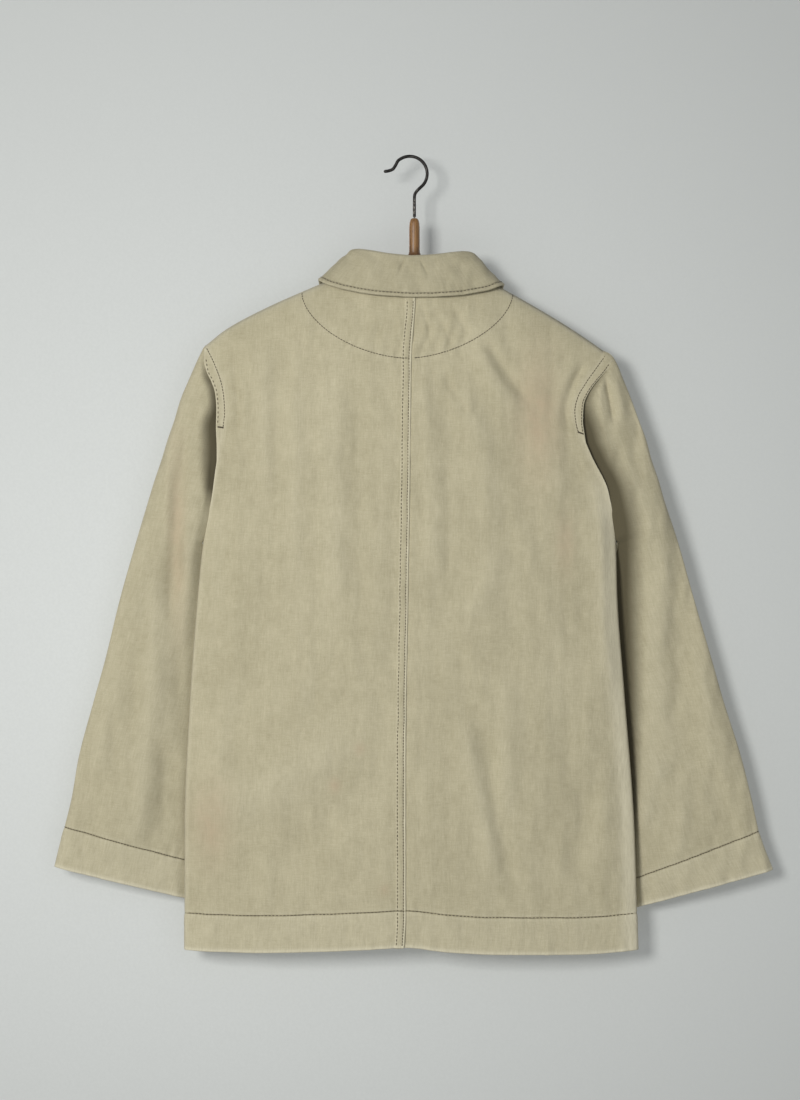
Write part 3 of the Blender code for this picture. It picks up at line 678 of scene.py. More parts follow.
def body_depth(side, x, height):
    """How far the cloth stands from the seam plane: a lens across the body,
    sqrt-like below the underarm and rounder above it, times a quarter-circle
    rounding below the shoulder line, with the armhole edges held open."""
    edge = side_x(side, height)
    share = np.clip((x - edge) / (centre_x(height) - edge), 0.0, 2.0)
    above = soft_step((height - UNDERARM_HEIGHT) / 0.070)
    lens = (1 - (1 - share) ** 2) ** (0.5 + 0.5 * above)
    depth = DEPTH_HEM + (DEPTH_CHEST - DEPTH_HEM) * soft_step((height + 0.80) / 0.30)
    open_edge = ARMHOLE_HALF_DEPTH * soft_step((height - UNDERARM_HEIGHT) / 0.100)
    below = np.clip(shoulder_height(side, x) - height, 0.0, SHOULDER_ROUNDING)
    rounding = np.sqrt(np.clip(1 - (1 - below / SHOULDER_ROUNDING) ** 2, 0.0, 1.0))
    return rounding * (open_edge + (depth - open_edge) * lens)


def panel_outline(side, face, u, v):
    """x and height inside a panel, at its shares in from the side and up from the
    hem: a Coons patch over its four edges."""
    sign, tip, neck_x = SIGN[side], TIP[side], NECK_SIDE[side]
    back = face == "back"

    def side_edge(v):
        """Side seam and armhole, from the hem up to the shoulder tip."""
        height = HEM_HEIGHT + (tip - HEM_HEIGHT) * v
        return side_x(side, height), height

    def centre_edge(v):
        """Centre seam, or the front edge beyond it, from the hem up to the neck."""
        height = CENTRE_HEM_HEIGHT + (NECK_HEIGHT[face] - CENTRE_HEM_HEIGHT) * v
        return centre_x(height) + sign * (SEAM_GAP / 2 if back else -FRONT_LAP), height

    def hem_edge(u):
        """Hem, from the side in."""
        start, finish = side_edge(0.0)[0], centre_edge(0.0)[0]
        x = start + (finish - start) * u
        return x, hem_height(x)

    def top_edge(u):
        """Shoulder line, then the neck as a quarter ellipse, slanted at the front,
        where it runs on straight to the lap's edge."""
        tip_x = side_x(side, tip)
        shoulder_x = tip_x + (neck_x - tip_x) * np.clip(u / NECK_SHARE, 0.0, 1.0)
        turn = np.clip((u - NECK_SHARE) / (1 - NECK_SHARE), 0.0, 1.0)
        finish_x, finish_z = centre_edge(1.0)
        meet_x, slant, last = finish_x, 0.0, 0.0 * turn
        if not back:
            meet_x, slant = centre_x(finish_z) + sign * FRONT_NECK_MEET, FRONT_NECK_SLANT
            last = np.clip((turn - NECK_CURVE_END) / (1 - NECK_CURVE_END), 0.0, 1.0)
            turn = np.clip(turn / NECK_CURVE_END, 0.0, 1.0) ** FRONT_NECK_EASE
        angle = turn * math.pi / 2
        out = slant * (1 - turn) + (1 - slant) * np.cos(angle)
        neck_curve_x = meet_x + (neck_x - meet_x) * out + (finish_x - meet_x) * last
        neck_z = shoulder_height(side, neck_x)
        neck_curve_z = finish_z + (neck_z - finish_z) * (1 - np.sin(angle))
        on_neck = u > NECK_SHARE
        return (np.where(on_neck, neck_curve_x, shoulder_x),
                np.where(on_neck, neck_curve_z, shoulder_height(side, shoulder_x)))

    edges = hem_edge(u), top_edge(u), side_edge(v), centre_edge(v)
    corners = ((side_edge(0.0)[0], hem_edge(0.0)[1]), hem_edge(1.0), side_edge(1.0),
               top_edge(np.asarray(1.0)))
    ways = (1 - v, v, 1 - u, u)
    shares = ((1 - u) * (1 - v), u * (1 - v), (1 - u) * v, u * v)
    return tuple(sum(way * edge[k] for way, edge in zip(ways, edges))
                 - sum(share * corner[k] for share, corner in zip(shares, corners))
                 for k in range(2))


# ------------------------------------------------------------ relief of cloth
def stitch_pucker(along, away, seed, period=0.0095, width=0.010, height=0.00045):
    """Small gathers beside a line of stitches: height * sin(2 pi along / period)
    with a wandering phase, inside bell(away, width)."""
    drift = waves(along / 0.045, along * 0, seed)
    strength = 0.65 + 0.35 * waves(along / 0.060, along * 0 + 1.0, seed + 1)
    ripple = np.sin(2 * math.pi * along / period + 1.6 * drift)
    return height * strength * ripple * bell(away, width)


def half_moon_distance(x, z):
    """Signed distance, roughly, from the stitched half moon under the neck: a
    superellipse of power HALF_MOON_POWER, negative inside."""
    across = np.abs((x - HALF_MOON_CENTRE) / HALF_MOON_HALF_WIDTH)
    down = np.clip((HALF_MOON_TOP - z) / HALF_MOON_DEPTH, 0.0, None)
    power = HALF_MOON_POWER
    radius = (across ** power + down ** power) ** (1 / power)
    return (radius - 1) * (HALF_MOON_DEPTH * 0.9)


def body_relief(face, side, x, z):
    """How far the middle of a body panel leaves its lens form: its soft folds,
    slow waves of the cloth, and gathers along the hem stitching; calm at the
    side seam and just under the shoulder."""
    seed = 11 if face == "back" else 23
    calm = soft_step((side_x(side, z) - x) * SIGN[side] / 0.018)
    low = soft_step((shoulder_height(side, x) - z) / 0.045)
    up, line = z - hem_height(x), x - centre_x(z)
    total = (fold_field(BODY_FOLDS[face], x, z)
             + 0.00060 * waves(x / 0.055, z / 0.170, seed)
             + 0.00030 * waves(x / 0.024, z / 0.060, seed + 1)
             + 0.00012 * waves(x / 0.010, z / 0.016, seed + 2)) * calm * low
    total = total + calm * (
        stitch_pucker(x, up - HEM_BAND, seed + 3, height=0.00040)
        + stitch_pucker(x + 0.3, up - 0.004, seed + 5, period=0.016, height=0.00050))
    if face == "front":
        lift = FRONT_LIFT * (side == "left") * soft_step((line + LAP_START) / LAP_RUN)
        pull = sum(bell(z - (BUTTON_TOP - step * BUTTON_STEP), 0.012)
                   for step in range(BUTTON_COUNT))
        return total + lift - 0.0005 * pull * bell(line, 0.016)
    away = half_moon_distance(x, z)
    tuck = np.sin(2 * math.pi * (x - 0.35 * z) / 0.0135 + 0.8)
    stretch = bell(x - 0.024, 0.030) * soft_step((z + 0.232) / 0.03)
    round_moon = np.arctan2(x, -(z + 0.10)) * 0.1
    return (total + 0.00125 * tuck * stretch * bell(away + 0.004, 0.024)
            + stitch_pucker(round_moon, away, 31, height=0.00030) * low
            + stitch_pucker(z, line + 0.0055, 41, period=0.013, width=0.008,
                            height=0.00016))


def body_surface(face, side, x, z):
    """Middle of a body panel at x, z: out from the seam plane by its depth."""
    depth = body_depth(side, x, z) + SEAM_GAP / 2 + body_relief(face, side, x, z)
    return np.stack([x, depth * WAY[face], z], axis=-1)


def hem_extra(up, band):
    """A turned-up hem: a soft swell below its stitches, which sit in a groove,
    and the faint step of the turned edge inside."""
    return (HEM_SWELL * soft_step((band - up) / 0.006)
            - GROOVE * bell(up - band, GROOVE_HALF)
            + 0.00018 * bell(up - (band - TURNED_EDGE), 0.0016))


def outer_extra(face, side, x, z):
    """Thickness added to the outside of a panel. At the back the felled centre
    seam is a raised band on the left panel, pressed down along its two rows of
    stitches, and the right panel dips under it. At the front the edge facing is
    a little raised between its two stitched lines. The hem is a fuller band."""
    line = x - centre_x(z)
    if face == "front":
        inside = FRONT_LAP + line * SIGN[side]
        extra = 0.0003 * soft_step((FACING_WIDTH - inside) / 0.0020) - 0.00030 * sum(
            bell(inside - row, 0.0009) for row in EDGE_ROWS)
    elif side == "left":
        extra = (FELL_RISE * soft_step((FELL_WIDTH + 0.0007 + line) / 0.0014)
                 - 0.00034 * sum(bell(line + row, 0.0008) for row in FELL_ROWS)
                 + 0.00020 * bell(line + 0.0054, 0.0020))
    else:
        extra = -0.0011 * soft_step((0.0042 - line) / 0.0040)
    return extra + hem_extra(z - hem_height(x), HEM_BAND)


def stain_at(x, z):
    """Sum over the stains of strength * bell(x, wide) * bell(z, tall)."""
    return sum(strength * bell(x - spot_x, wide) * bell(z - spot_z, tall)
               for spot_x, spot_z, wide, tall, strength in zip(*STAINS.values()))


def marks_of(wear_and_painted_shading, x, z):
    """Fading and painted shading (-1 the darkest painted shade, 1 most faded) and stain,
    one of each for every point.
    """
    return {"wear_and_painted_shading": np.clip(wear_and_painted_shading, -1, 1) * np.ones_like(x), "stain": stain_at(x, z)}


# ------------------------------------------------------------- sheets to mesh
def border_loop(rows, columns):
    """Place numbers round the border of a grid, and of the points just inside."""
    place = np.arange(rows * columns).reshape(rows, columns)
    return [np.concatenate([place[edge, :-1], place[:-1, -1 - edge],
                            place[-1 - edge, :0:-1], place[:0:-1, edge]])
            for edge in (0, 1)]


def put_mesh(name, points, faces, material, uv=None, marks=None):
    """A mesh object at the origin from arrays of points and a list of arrays of
    faces, with an optional UV map in metres and point attributes."""
    mesh = bpy.data.meshes.new(name)
    corners = np.concatenate([part.ravel() for part in faces]).astype(np.int32)
    counts = np.concatenate([np.full(len(part), part.shape[1]) for part in faces])
    starts = np.concatenate([[0], np.cumsum(counts)[:-1]]).astype(np.int32)
    mesh.vertices.add(len(points))
    mesh.vertices.foreach_set("co", np.ascontiguousarray(points, np.float32).ravel())
    mesh.loops.add(len(corners))
    mesh.loops.foreach_set("vertex_index", corners)
    mesh.polygons.add(len(counts))
    mesh.polygons.foreach_set("loop_start", starts)
    mesh.polygons.foreach_set("use_smooth", np.full(len(counts), True))
    mesh.update(calc_edges=True)
    if uv is not None:
        layer = mesh.uv_layers.new(name="grain")
        layer.data.foreach_set("uv", uv[corners].astype(np.float32).ravel())
    for key, values in (marks or {}).items():
        attribute = mesh.attributes.new(key, "FLOAT", "POINT")
        attribute.data.foreach_set("value", np.asarray(values, np.float32))
    mesh.materials.append(material)
    piece = bpy.data.objects.new(name, mesh)
    bpy.context.scene.collection.objects.link(piece)
    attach(piece, "root")
    return piece


def shown_for(piece, node):
    """A finished piece that is seen in place of a solid."""
    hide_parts(node)
    return piece


def strip_quads(first, second, flip):
    """Quads between two closed loops of place numbers of equal length."""
    sides = [first, np.roll(first, -1), np.roll(second, -1), second]
    return np.stack(sides[::-1] if flip else sides, axis=1)


def grid_quads(place, flip):
    """Quads of a grid of place numbers, wound the other way if flip."""
    sides = [part.ravel() for part in (place[:-1, :-1], place[:-1, 1:], place[1:, 1:],
                                       place[1:, :-1])]
    return np.stack([sides[0], *sides[:0:-1]] if flip else sides, axis=1)


def ring_faces(rows, around):
    """Faces over rings of points, closed at both ends by fans to two poles, whose
    points come after the rings'."""
    ring = np.arange(rows * around).reshape(rows, around)
    quads = np.concatenate([strip_quads(*pair, False) for pair in zip(ring, ring[1:])])
    pole = np.full(around, rows * around)
    return [quads, np.stack([pole, np.roll(ring[0], -1), ring[0]], axis=1),
            np.stack([pole + 1, ring[-1], np.roll(ring[-1], -1)], axis=1)]


def cloth_sheet(name, sheet, material, place=None, loops=None, half=CLOTH_HALF):
    """A thin closed shell. Its outside is middle + normal * (half + extra), its
    inside middle - normal * half, and a rounded rim, one row of points pushed
    out by part of the thickness, closes each border loop."""
    middle, normal, extra, uv, marks = sheet
    rows, columns = middle.shape[:2]
    count = rows * columns
    if place is None:
        place = np.arange(count).reshape(rows, columns)
        loops = [border_loop(rows, columns)]
    row, column = rows // 2, columns // 4
    facing = np.cross(middle[row, column + 1] - middle[row, column],
                      middle[row + 1, column] - middle[row, column])
    flip = float(np.dot(facing, normal[row, column])) < 0
    middle, normal, uv = middle.reshape(-1, 3), normal.reshape(-1, 3), uv.reshape(-1, 2)
    outside = middle + normal * (half + extra.reshape(-1, 1))
    inside = middle - normal * half
    points, total = [outside, inside], 2 * count
    faces = [grid_quads(place, flip), grid_quads(place + count, not flip)]
    for loop, inner in loops:
        away = unit(middle[loop] - middle[inner])
        size = np.linalg.norm(outside[loop] - inside[loop], axis=1, keepdims=True)
        points.append((outside[loop] + inside[loop]) / 2 + away * size * RIM_BULGE)
        rim = np.arange(len(loop)) + total
        faces += [strip_quads(*pair, not flip)
                  for pair in ((loop, rim), (rim, loop + count))]
        total += len(loop)
    copies = np.concatenate([np.arange(count)] * 2 + [loop for loop, inner in loops])
    used = np.unique(np.concatenate([part.ravel() for part in faces]))
    renumber = np.zeros(total, int)
    renumber[used] = np.arange(len(used))
    return put_mesh(name, np.concatenate(points)[used],
                    [renumber[part] for part in faces], material, uv[copies[used]],
                    {key: part.ravel()[copies[used]] for key, part in marks.items()})


def grid_normals(middle, towards, part=slice(None)):
    """Unit normals of a grid by central differences, turned so that over a part
    of it they lie on the side of towards."""
    normal = unit(np.cross(np.gradient(middle, axis=1), np.gradient(middle, axis=0)))
    return normal * np.sign(np.sum((normal * towards)[part]))


def arc_from(points, start):
    """Distance along each row of a grid from its column number start, negative
    before it."""
    steps = np.linalg.norm(np.diff(points, axis=1), axis=-1)
    total = np.pad(np.cumsum(steps, axis=1), ((0, 0), (1, 0)))
    return total - total[:, start][:, None]


def on_grid(grid, row, column):
    """Points between those of a grid, at fractional row and column numbers."""
    row, column = np.broadcast_arrays(np.asarray(row, float), np.asarray(column, float))
    first = np.clip(np.floor(row).astype(int), 0, grid.shape[0] - 2)
    left = np.clip(np.floor(column).astype(int), 0, grid.shape[1] - 2)
    down, over = (row - first)[..., None], (column - left)[..., None]
    upper = grid[first, left] * (1 - over) + grid[first, left + 1] * over
    lower = grid[first + 1, left] * (1 - over) + grid[first + 1, left + 1] * over
    return upper * (1 - down) + lower * down


# -------------------------------------------------------------- cloth pieces
def share_steps(split, before, after):
    """Shares from 0 to split in before steps, then on to 1 in after steps."""
    return np.concatenate([np.linspace(0, split, before, endpoint=False),
                           np.linspace(split, 1, after)])


def both_ways(back, front):
    """Rows out over the back and home again over the front."""
    return np.concatenate([back, front[:, -2::-1]], axis=1)


def lay_over_armhole(side, u, x, z):
    """Carries the first columns of a panel out over the sleeve, as far as the
    felled armhole seam reaches, keeping its top on the shoulder line."""
    first_x, first_z = x[:, :1], z[:, :1]
    reach = (read(ARMHOLE_FELL[side], "x", first_z) - first_x) * SIGN[side]
    reach = np.maximum(reach, 0.0) * soft_step((first_z - FELL_FOOT) / 0.015)
    moved = x + SIGN[side] * reach * np.clip(1 - u / FELL_SHARE, 0.0, 1.0)
    level = shoulder_height(side, x)
    drop = shoulder_height(side, moved) - level
    return moved, z + drop * soft_step((z - level + 0.040) / 0.040)


def body_sheet(face, side):
    """Grid of a body panel: close columns at the centre seam or front edge, close
    rows over the hem. Marks: fading on edges and on standing folds, painted shade
    in stitch grooves and under the centre fell's edge, painted light along the
    lower right side, and stain."""
    sign, back = SIGN[side], face == "back"
    across = share_steps(0.80, 60, 26)
    if back:
        across = np.concatenate([np.linspace(0, 0.10, 18, endpoint=False),
                                 0.10 + 0.90 * share_steps(0.928, 66, 28)])
    up = share_steps(HEM_BAND * 1.25 / PANEL_LENGTH, 42, 230 if back else 150)
    u, v = np.meshgrid(across, up)
    x, z = lay_over_armhole(side, u, *panel_outline(side, face, u, v))
    middle = body_surface(face, side, x, z)
    line = x - centre_x(z)
    if back and side == "right":
        under = soft_step((u - 0.965) / 0.035)
        middle[..., 0] -= FELL_TUCK * under
        middle[..., 1] += 0.0008 * soft_step((0.0050 - line) / 0.0050) * under
    normal = grid_normals(middle, (0.0, WAY[face], 0.0))
    normal[z[:, 0] <= UNDERARM_HEIGHT + 0.002, 0, 1] = 0.0
    normal[-1, u[-1] <= NECK_SHARE, 1] = 0.0
    edge_gap = np.abs(x - side_x(side, z))
    top_gap = np.clip(shoulder_height(side, x) - z, 0.0, 1.0)
    up = np.clip(z - hem_height(x), 0.0, 1.0)
    # Fading on the hem, shoulder, side and armhole edges, hem band and standing folds; the
    # narrow -1.25 line is painted shade in the groove of the hem stitches.
    wear_and_painted_shading = (0.75 * bell(up, 0.0030) + 0.45 * bell(top_gap, 0.0050)
            + 0.30 * bell(edge_gap, 0.0035)
            + 0.40 * bell(x - x[:, :1], 0.0014) * (z > UNDERARM_HEIGHT)
            + 0.30 * bell(up - HEM_BAND, 0.0030) - 1.25 * bell(up - HEM_BAND, 0.0007)
            + 0.16 * soft_step((HEM_BAND - up) / 0.004)
            + FADED_FOLD * np.clip(fold_field(BODY_FOLDS[face], x, z), 0, FADED_MOST))
    # Painted light: the right panel is lighter just inside its side edge below the
    # underarm, standing in for light on the body's rounding there.
    if side == "right":
        painted_light_mask = soft_step((-0.34 - z) / 0.05) * (edge_gap < 0.1)
        wear_and_painted_shading = wear_and_painted_shading + 0.70 * bell(edge_gap - 0.007, 0.010) * painted_light_mask
    if back:
        moon = half_moon_distance(x, z)
        # Fading beside the half moon's stitches, with painted shade in their groove.
        wear_and_painted_shading = wear_and_painted_shading + 0.15 * bell(moon, 0.004) - 0.12 * bell(moon, 0.0020)
    if not back:
        wear_and_painted_shading = wear_and_painted_shading + 0.7 * bell(line + sign * FRONT_LAP, 0.0020)
    elif side == "left":
        wear_and_painted_shading = (wear_and_painted_shading + 0.75 * bell(line + 0.0006, 0.0013)
                + 0.25 * bell(line + 0.0090, 0.0016))
    else:
        # Painted shadow where the right panel dips under the left's felled band.
        wear_and_painted_shading = wear_and_painted_shading - 0.9 * bell(line, 0.0014)
    uv = np.stack([arc_from(middle, -1) * -sign, z], axis=-1)
    return middle, unit(normal), outer_extra(face, side, x, z), uv, marks_of(wear_and_painted_shading, x, z)


def sleeve_sheet(side):
    """Grid of a sleeve, and how far each point lies above its cuff's stitches.
    Each row goes from the inner line at the back, round the outer fold, to the
    inner line at the front: a flattened ellipse whose ends are held apart by the
    armhole above the underarm and meet below it. Soft folds push it out, and a
    sharp dip runs just outside the armhole seam, with painted shade in it standing
    in for the body's shadow there."""
    sign, under, fell = SIGN[side], SLEEVES[side], ARMHOLE_FELL[side]
    v = np.linspace(0.0, 1.0, 900)
    edge_x, edge_z = panel_outline(side, "back", np.zeros_like(v), v)
    tip, foot = edge_z[-1], under["inner_z"][0]

    # The open rows, from the shoulder tip to the underarm, then the closed ones.
    drop = np.linspace(0.004, 1.0, SLEEVE_OPEN_ROWS, endpoint=False) ** SLEEVE_ROW_EASE
    open_z = tip + (foot - tip) * drop
    edge = np.interp(open_z, edge_z, edge_x)
    hole_x = edge + sign * SEAM_GAP
    hole_y = body_depth(side, edge, open_z) + SEAM_GAP / 2
    knots = run_along(under["outer_z"][:, None])
    cuff = knots[-1] - SLEEVE_CUFF_REACH
    at = np.concatenate([
        np.linspace(0, cuff, SLEEVE_CLOSED_ROWS - SLEEVE_CUFF_ROWS, endpoint=False),
        np.linspace(cuff, knots[-1], SLEEVE_CUFF_ROWS)])

    def down(open_part, name):
        """One value for every row, the closed rows' being read from the table."""
        return np.concatenate([open_part, smooth_between(knots, under[name], at)])

    inner = np.stack([down(hole_x, "inner_x"), down(0 * open_z, "inner_y"),
                      down(open_z, "inner_z")], axis=-1)
    outer_z = down(tip + (under["outer_z"][0] - tip) * drop, "outer_z")
    outer = np.stack([read(SLEEVE_FOLD, side, outer_z),
                      down(under["outer_y"][0] * drop, "outer_y"), outer_z], axis=-1)
    half = down(np.maximum.accumulate(hole_y) * 1.02 + 0.0002, "half_depth")[:, None]
    mouth = np.concatenate([hole_y, 0 * at])[:, None]

    # Round each row, from the inner line (share 0) to the outer fold (share 1).
    start = np.arcsin(np.clip(mouth / half, 0, 1))
    way = np.linspace(0, 1, SLEEVE_HALF_COLUMNS + 1)
    way = way + (way - way ** 2) * (way - 1) * SLEEVE_COLUMN_EASE
    angle = start + (math.pi - start) * way
    share = (np.cos(start) - np.cos(angle)) / (1 + np.cos(start))
    flat = inner[:, None] + (outer - inner)[:, None] * share[..., None]
    x, y, z = np.moveaxis(flat, -1, 0)
    thick = half * np.sin(angle)
    thick[:, -1] = 0.0
    cover = np.interp(z, edge_z, edge_x) * sign
    inner_calm = np.where(angle > math.pi / 2, soft_step(np.sin(angle) / 0.45), 1.0)
    calm = (inner_calm * soft_step((x * sign - cover) / 0.012)
            * soft_step((tip - z) / 0.020))
    along = run_along((inner + outer) / 2)
    to_cuff = (along[-1] - along)[:, None] * np.ones_like(x)
    inner_band, outer_band = CUFF_BANDS[side]
    above = to_cuff - (inner_band + (outer_band - inner_band) * share)
    seed = 51 if side == "left" else 61

    def relief(folds, mirror, seed):
        """Soft folds of one face and the slow waves of its cloth."""
        return calm * (fold_field(folds, x, z, mirror)
                       + 0.00060 * waves(x / 0.035, z / 0.110, seed)
                       + 0.00034 * waves(x / 0.017, z / 0.045, seed + 1))

    back = relief(SLEEVE_FOLDS[side], 1.0, seed)
    front = relief(SLEEVE_FRONT_FOLDS, sign, seed + 5)
    round_row = share * np.linalg.norm(outer - inner, axis=1)[:, None]
    gather = (np.sin(angle) > 0.02) * (
        stitch_pucker(round_row, above, seed + 9, height=0.00055)
        + stitch_pucker(round_row + 0.2, to_cuff - 0.004, seed + 11, period=0.017,
                        height=0.00050))

    # The dip past the edge of the body or of its fell, and painted shade there standing in
    # for the body's shadow and the occlusion in the gap.
    depth, reach, shade = (read(SLEEVE_DIPS[side], name, z)
                           for name in ("depth", "reach", "shade"))
    fell_edge = np.where(z > fell["height"][0], read(fell, "x", z) * sign, -1.0)
    past = np.clip(x * sign - np.maximum(cover, fell_edge), 0.0, None)
    is_open = (np.arange(len(x)) < SLEEVE_OPEN_ROWS)[:, None]
    depth = np.where(is_open, np.minimum(depth, 0.60 * mouth), depth)
    dip = np.minimum(depth, 0.65 * half) * (1 - soft_step(past / (DIP_RISE * reach)))
    rise = 1 - soft_step(past / (PAINTED_SHADE_RISE * reach) - 0.08)
    shade = np.minimum(PAINTED_SHADE_GAIN * shade * rise, 1.0)
    faces = (y - thick - (back * (1 - 0.8 * bell(past, 0.006)) + gather - dip),
             y + thick + (front + gather - dip * is_open))
    for face in faces:
        face[:, -1] = y[:, -1]
        face[SLEEVE_OPEN_ROWS:, 0] = y[SLEEVE_OPEN_ROWS:, 0]
    middle = both_ways(*(np.stack([x, face, z], axis=-1) for face in faces))
    tuck = (SLEEVE_TUCK * soft_step((tip - open_z) / 0.030)
            * soft_step((open_z - foot) / 0.030))
    rows = middle[:SLEEVE_OPEN_ROWS]
    gap = np.minimum(*(np.linalg.norm(rows - rows[:, [end]], axis=-1) for end in (0, -1)))
    rows[..., 0] -= sign * tuck[:, None] * np.clip(1 - gap / 0.006, 0.0, 1.0)
    apex = np.array([hole_x[0], 0.0, tip + 0.0002])
    middle[0] = apex + (middle[1] - apex) * 0.05

    wrapped = np.concatenate([middle[:, -2:-1], middle, middle[:, 1:2]], axis=1)
    over_back = (0.0, -1.0, 0.0), np.s_[:, :SLEEVE_HALF_COLUMNS]
    normal = np.where(is_open[..., None], grid_normals(middle, *over_back),
                      grid_normals(wrapped, *over_back)[:, 1:-1])
    to_cuff, above, dark = (both_ways(*pair) for pair in (
        (to_cuff, to_cuff), (above, above), (shade, 0 * shade)))
    outer_arc = arc_from(middle, SLEEVE_HALF_COLUMNS)
    axis = unit(np.array([sign * SLEEVE_LEAN, 0.0, -1.0]))
    uv = np.stack([outer_arc * sign, -(middle @ axis)], axis=-1)
    # Fading at the cuff edge, over the cuff band and on the outer and standing folds;
    # painted shade in the groove of the cuff stitches and, through dark, beside the body.
    wear_and_painted_shading = (0.75 * bell(to_cuff, 0.0030) + 0.30 * bell(above, 0.0030)
            - 1.1 * bell(above, 0.0008) + 0.16 * soft_step(-above / 0.004)
            + 0.10 * bell(outer_arc, 0.0060)
            + FADED_FOLD * np.clip(both_ways(back, front), 0, FADED_MOST))
    marks = marks_of(wear_and_painted_shading * (1 - dark) - dark, middle[..., 0], middle[..., 2])
    return (middle, normal, hem_extra(above, 0.0), uv, marks), above


def sleeve_loops(rows, columns):
    """Place numbers of a sleeve, whose closed rows share their end points, and
    its armhole and cuff border loops with the points just inside them."""
    place = np.arange(rows * columns).reshape(rows, columns)
    inside = place.copy()
    inside[:, 0], inside[:, -1] = place[:, 1], place[:, -2]
    inside[0], inside[-1] = place[1], place[-2]
    first = SLEEVE_OPEN_ROWS
    place[first:, -1] = place[first:, 0]
    hole = [np.concatenate([grid[0, :-1], grid[:first, -1], foot,
                            grid[first - 1:0:-1, 0]])
            for grid, foot in ((place, place[first, :1]), (inside, place[first + 1, :1]))]
    return place, [hole, (place[-1, -2::-1], inside[-1, -2::-1])]


def neck_line(side):
    """Neck seam of one side from the front edge to the centre back, with how far
    round each point lies: 1 at the front, 0.5 on the shoulder, 0 at the back."""
    forward = np.linspace(1, 0, 60)
    behind = np.linspace(0, 1, 61)[1:]
    neck = 1 - NECK_SHARE
    lines = []
    for face, u in (("front", NECK_SHARE + neck * NECK_CURVE_END * forward),
                    ("back", NECK_SHARE + neck * behind)):
        x, z = panel_outline(side, face, u, np.ones_like(u))
        depth = body_depth(side, x, z) + SEAM_GAP / 2
        lines.append(np.stack([x, depth * WAY[face], z], axis=-1))
    shares = 0.5 + 0.5 * forward ** (0.8 * FRONT_NECK_EASE), 0.5 - 0.5 * behind
    return np.concatenate(lines), np.concatenate(shares)


def collar_sheet():
    """Grid of the collar, and how far each point lies from its loose edge.
    Stations run from the left front round the back to the right front; the
    section goes up from the neck seam, turns over the fold and comes down the
    fall to its loose edge."""
    left, left_share = neck_line("left")
    right, right_share = neck_line("right")
    seam = np.concatenate([left, right[-2::-1]]) + np.array([0.0, 0.0, 0.0006])
    share = np.concatenate([-left_share, right_share[-2::-1]])
    away, sign = np.abs(share), np.where(share < 0, -1.0, 1.0)

    def placed(kind):
        """The collar's fold or edge line at every station."""
        x, y, z = (read(COLLAR, "%s_%s" % (kind, axis), away, by="along")
                   for axis in "xyz")
        x = x * sign
        return np.stack([COLLAR_CENTRE + x, y, z + COLLAR_TILT * x], axis=-1)

    def unit_on_side(vectors, way):
        """Unit vectors, each turned to the side of way."""
        return unit(vectors) * np.sign(np.sum(vectors * way, axis=-1, keepdims=True))

    fold, edge = placed("fold"), placed("edge")
    fold_line = np.gradient(fold, axis=0)
    outward = unit_on_side(np.cross(fold_line, edge - fold), edge - seam)
    down = unit_on_side(np.cross(outward, fold_line), edge - fold)
    inner_turn, outer_turn = (fold + outward * COLLAR_FOLD_HALF * way
                              + down * COLLAR_FOLD_DROP for way in (-1, 1))
    rows = np.stack([seam, (seam + inner_turn) / 2, inner_turn, fold, outer_turn,
                     (outer_turn + edge) / 2 + outward * COLLAR_FALL_BOW, edge])
    at = np.concatenate([np.linspace(0, 2, 14, endpoint=False),
                         np.linspace(2, 4, 16, endpoint=False), np.linspace(4, 6, 36)])
    lengths = np.linalg.norm(np.diff(rows, axis=0), axis=-1).mean(axis=1)
    knots = np.concatenate([[0], np.cumsum(lengths)])
    section = np.interp(at, np.arange(7), knots)
    middle = np.stack([smooth_between(knots, column, section)
                       for column in rows.reshape(7, -1).T], axis=-1)
    middle = middle.reshape(len(section), len(share), 3)
    section = section[:, None]
    fall = soft_step((section - knots[4]) / 0.012)
    to_edge = (knots[-1] - section) * np.ones(len(share))
    x, z = middle[..., 0], middle[..., 2]
    wave = (0.00060 * waves(x / 0.045, z / 0.030 + share * 3, 71)
            + 0.00022 * waves(x / 0.013, z / 0.022, 72)
            + stitch_pucker(x, to_edge - COLLAR_ROW, 73, period=0.0085, height=0.00028))
    for crease_x, lean in COLLAR_CREASES:
        line = x - crease_x - lean * (z + 0.122)
        wave = wave - 0.0018 * bell(line, 0.0020) * bell(z + 0.121, 0.009) * (away < 0.4)
    middle = middle + outward * (wave * fall)[..., None]
    extra = (0.0005 * soft_step((0.0060 - to_edge) / 0.0040)
             - GROOVE * bell(to_edge - COLLAR_ROW, 0.0009))
    ends = np.minimum(np.arange(len(share)), np.arange(len(share))[::-1])
    # Fading at the loose edge, along the fold and at the ends; painted shade in the groove
    # of the stitch row.
    wear_and_painted_shading = (0.18 * bell(to_edge, 0.0016) + 0.25 * bell(section - knots[3], 0.0035)
            - 0.8 * bell(to_edge - COLLAR_ROW, 0.0007) + 0.4 * bell(ends, 2.0))
    uv = np.stack(np.broadcast_arrays(run_along(fold), section), axis=-1)
    marks = {"wear_and_painted_shading": np.clip(wear_and_painted_shading, -1, 1), "stain": 0 * x}
    normal = grid_normals(middle, outward, slice(30, None))
    return (middle, normal, extra, uv, marks), to_edge


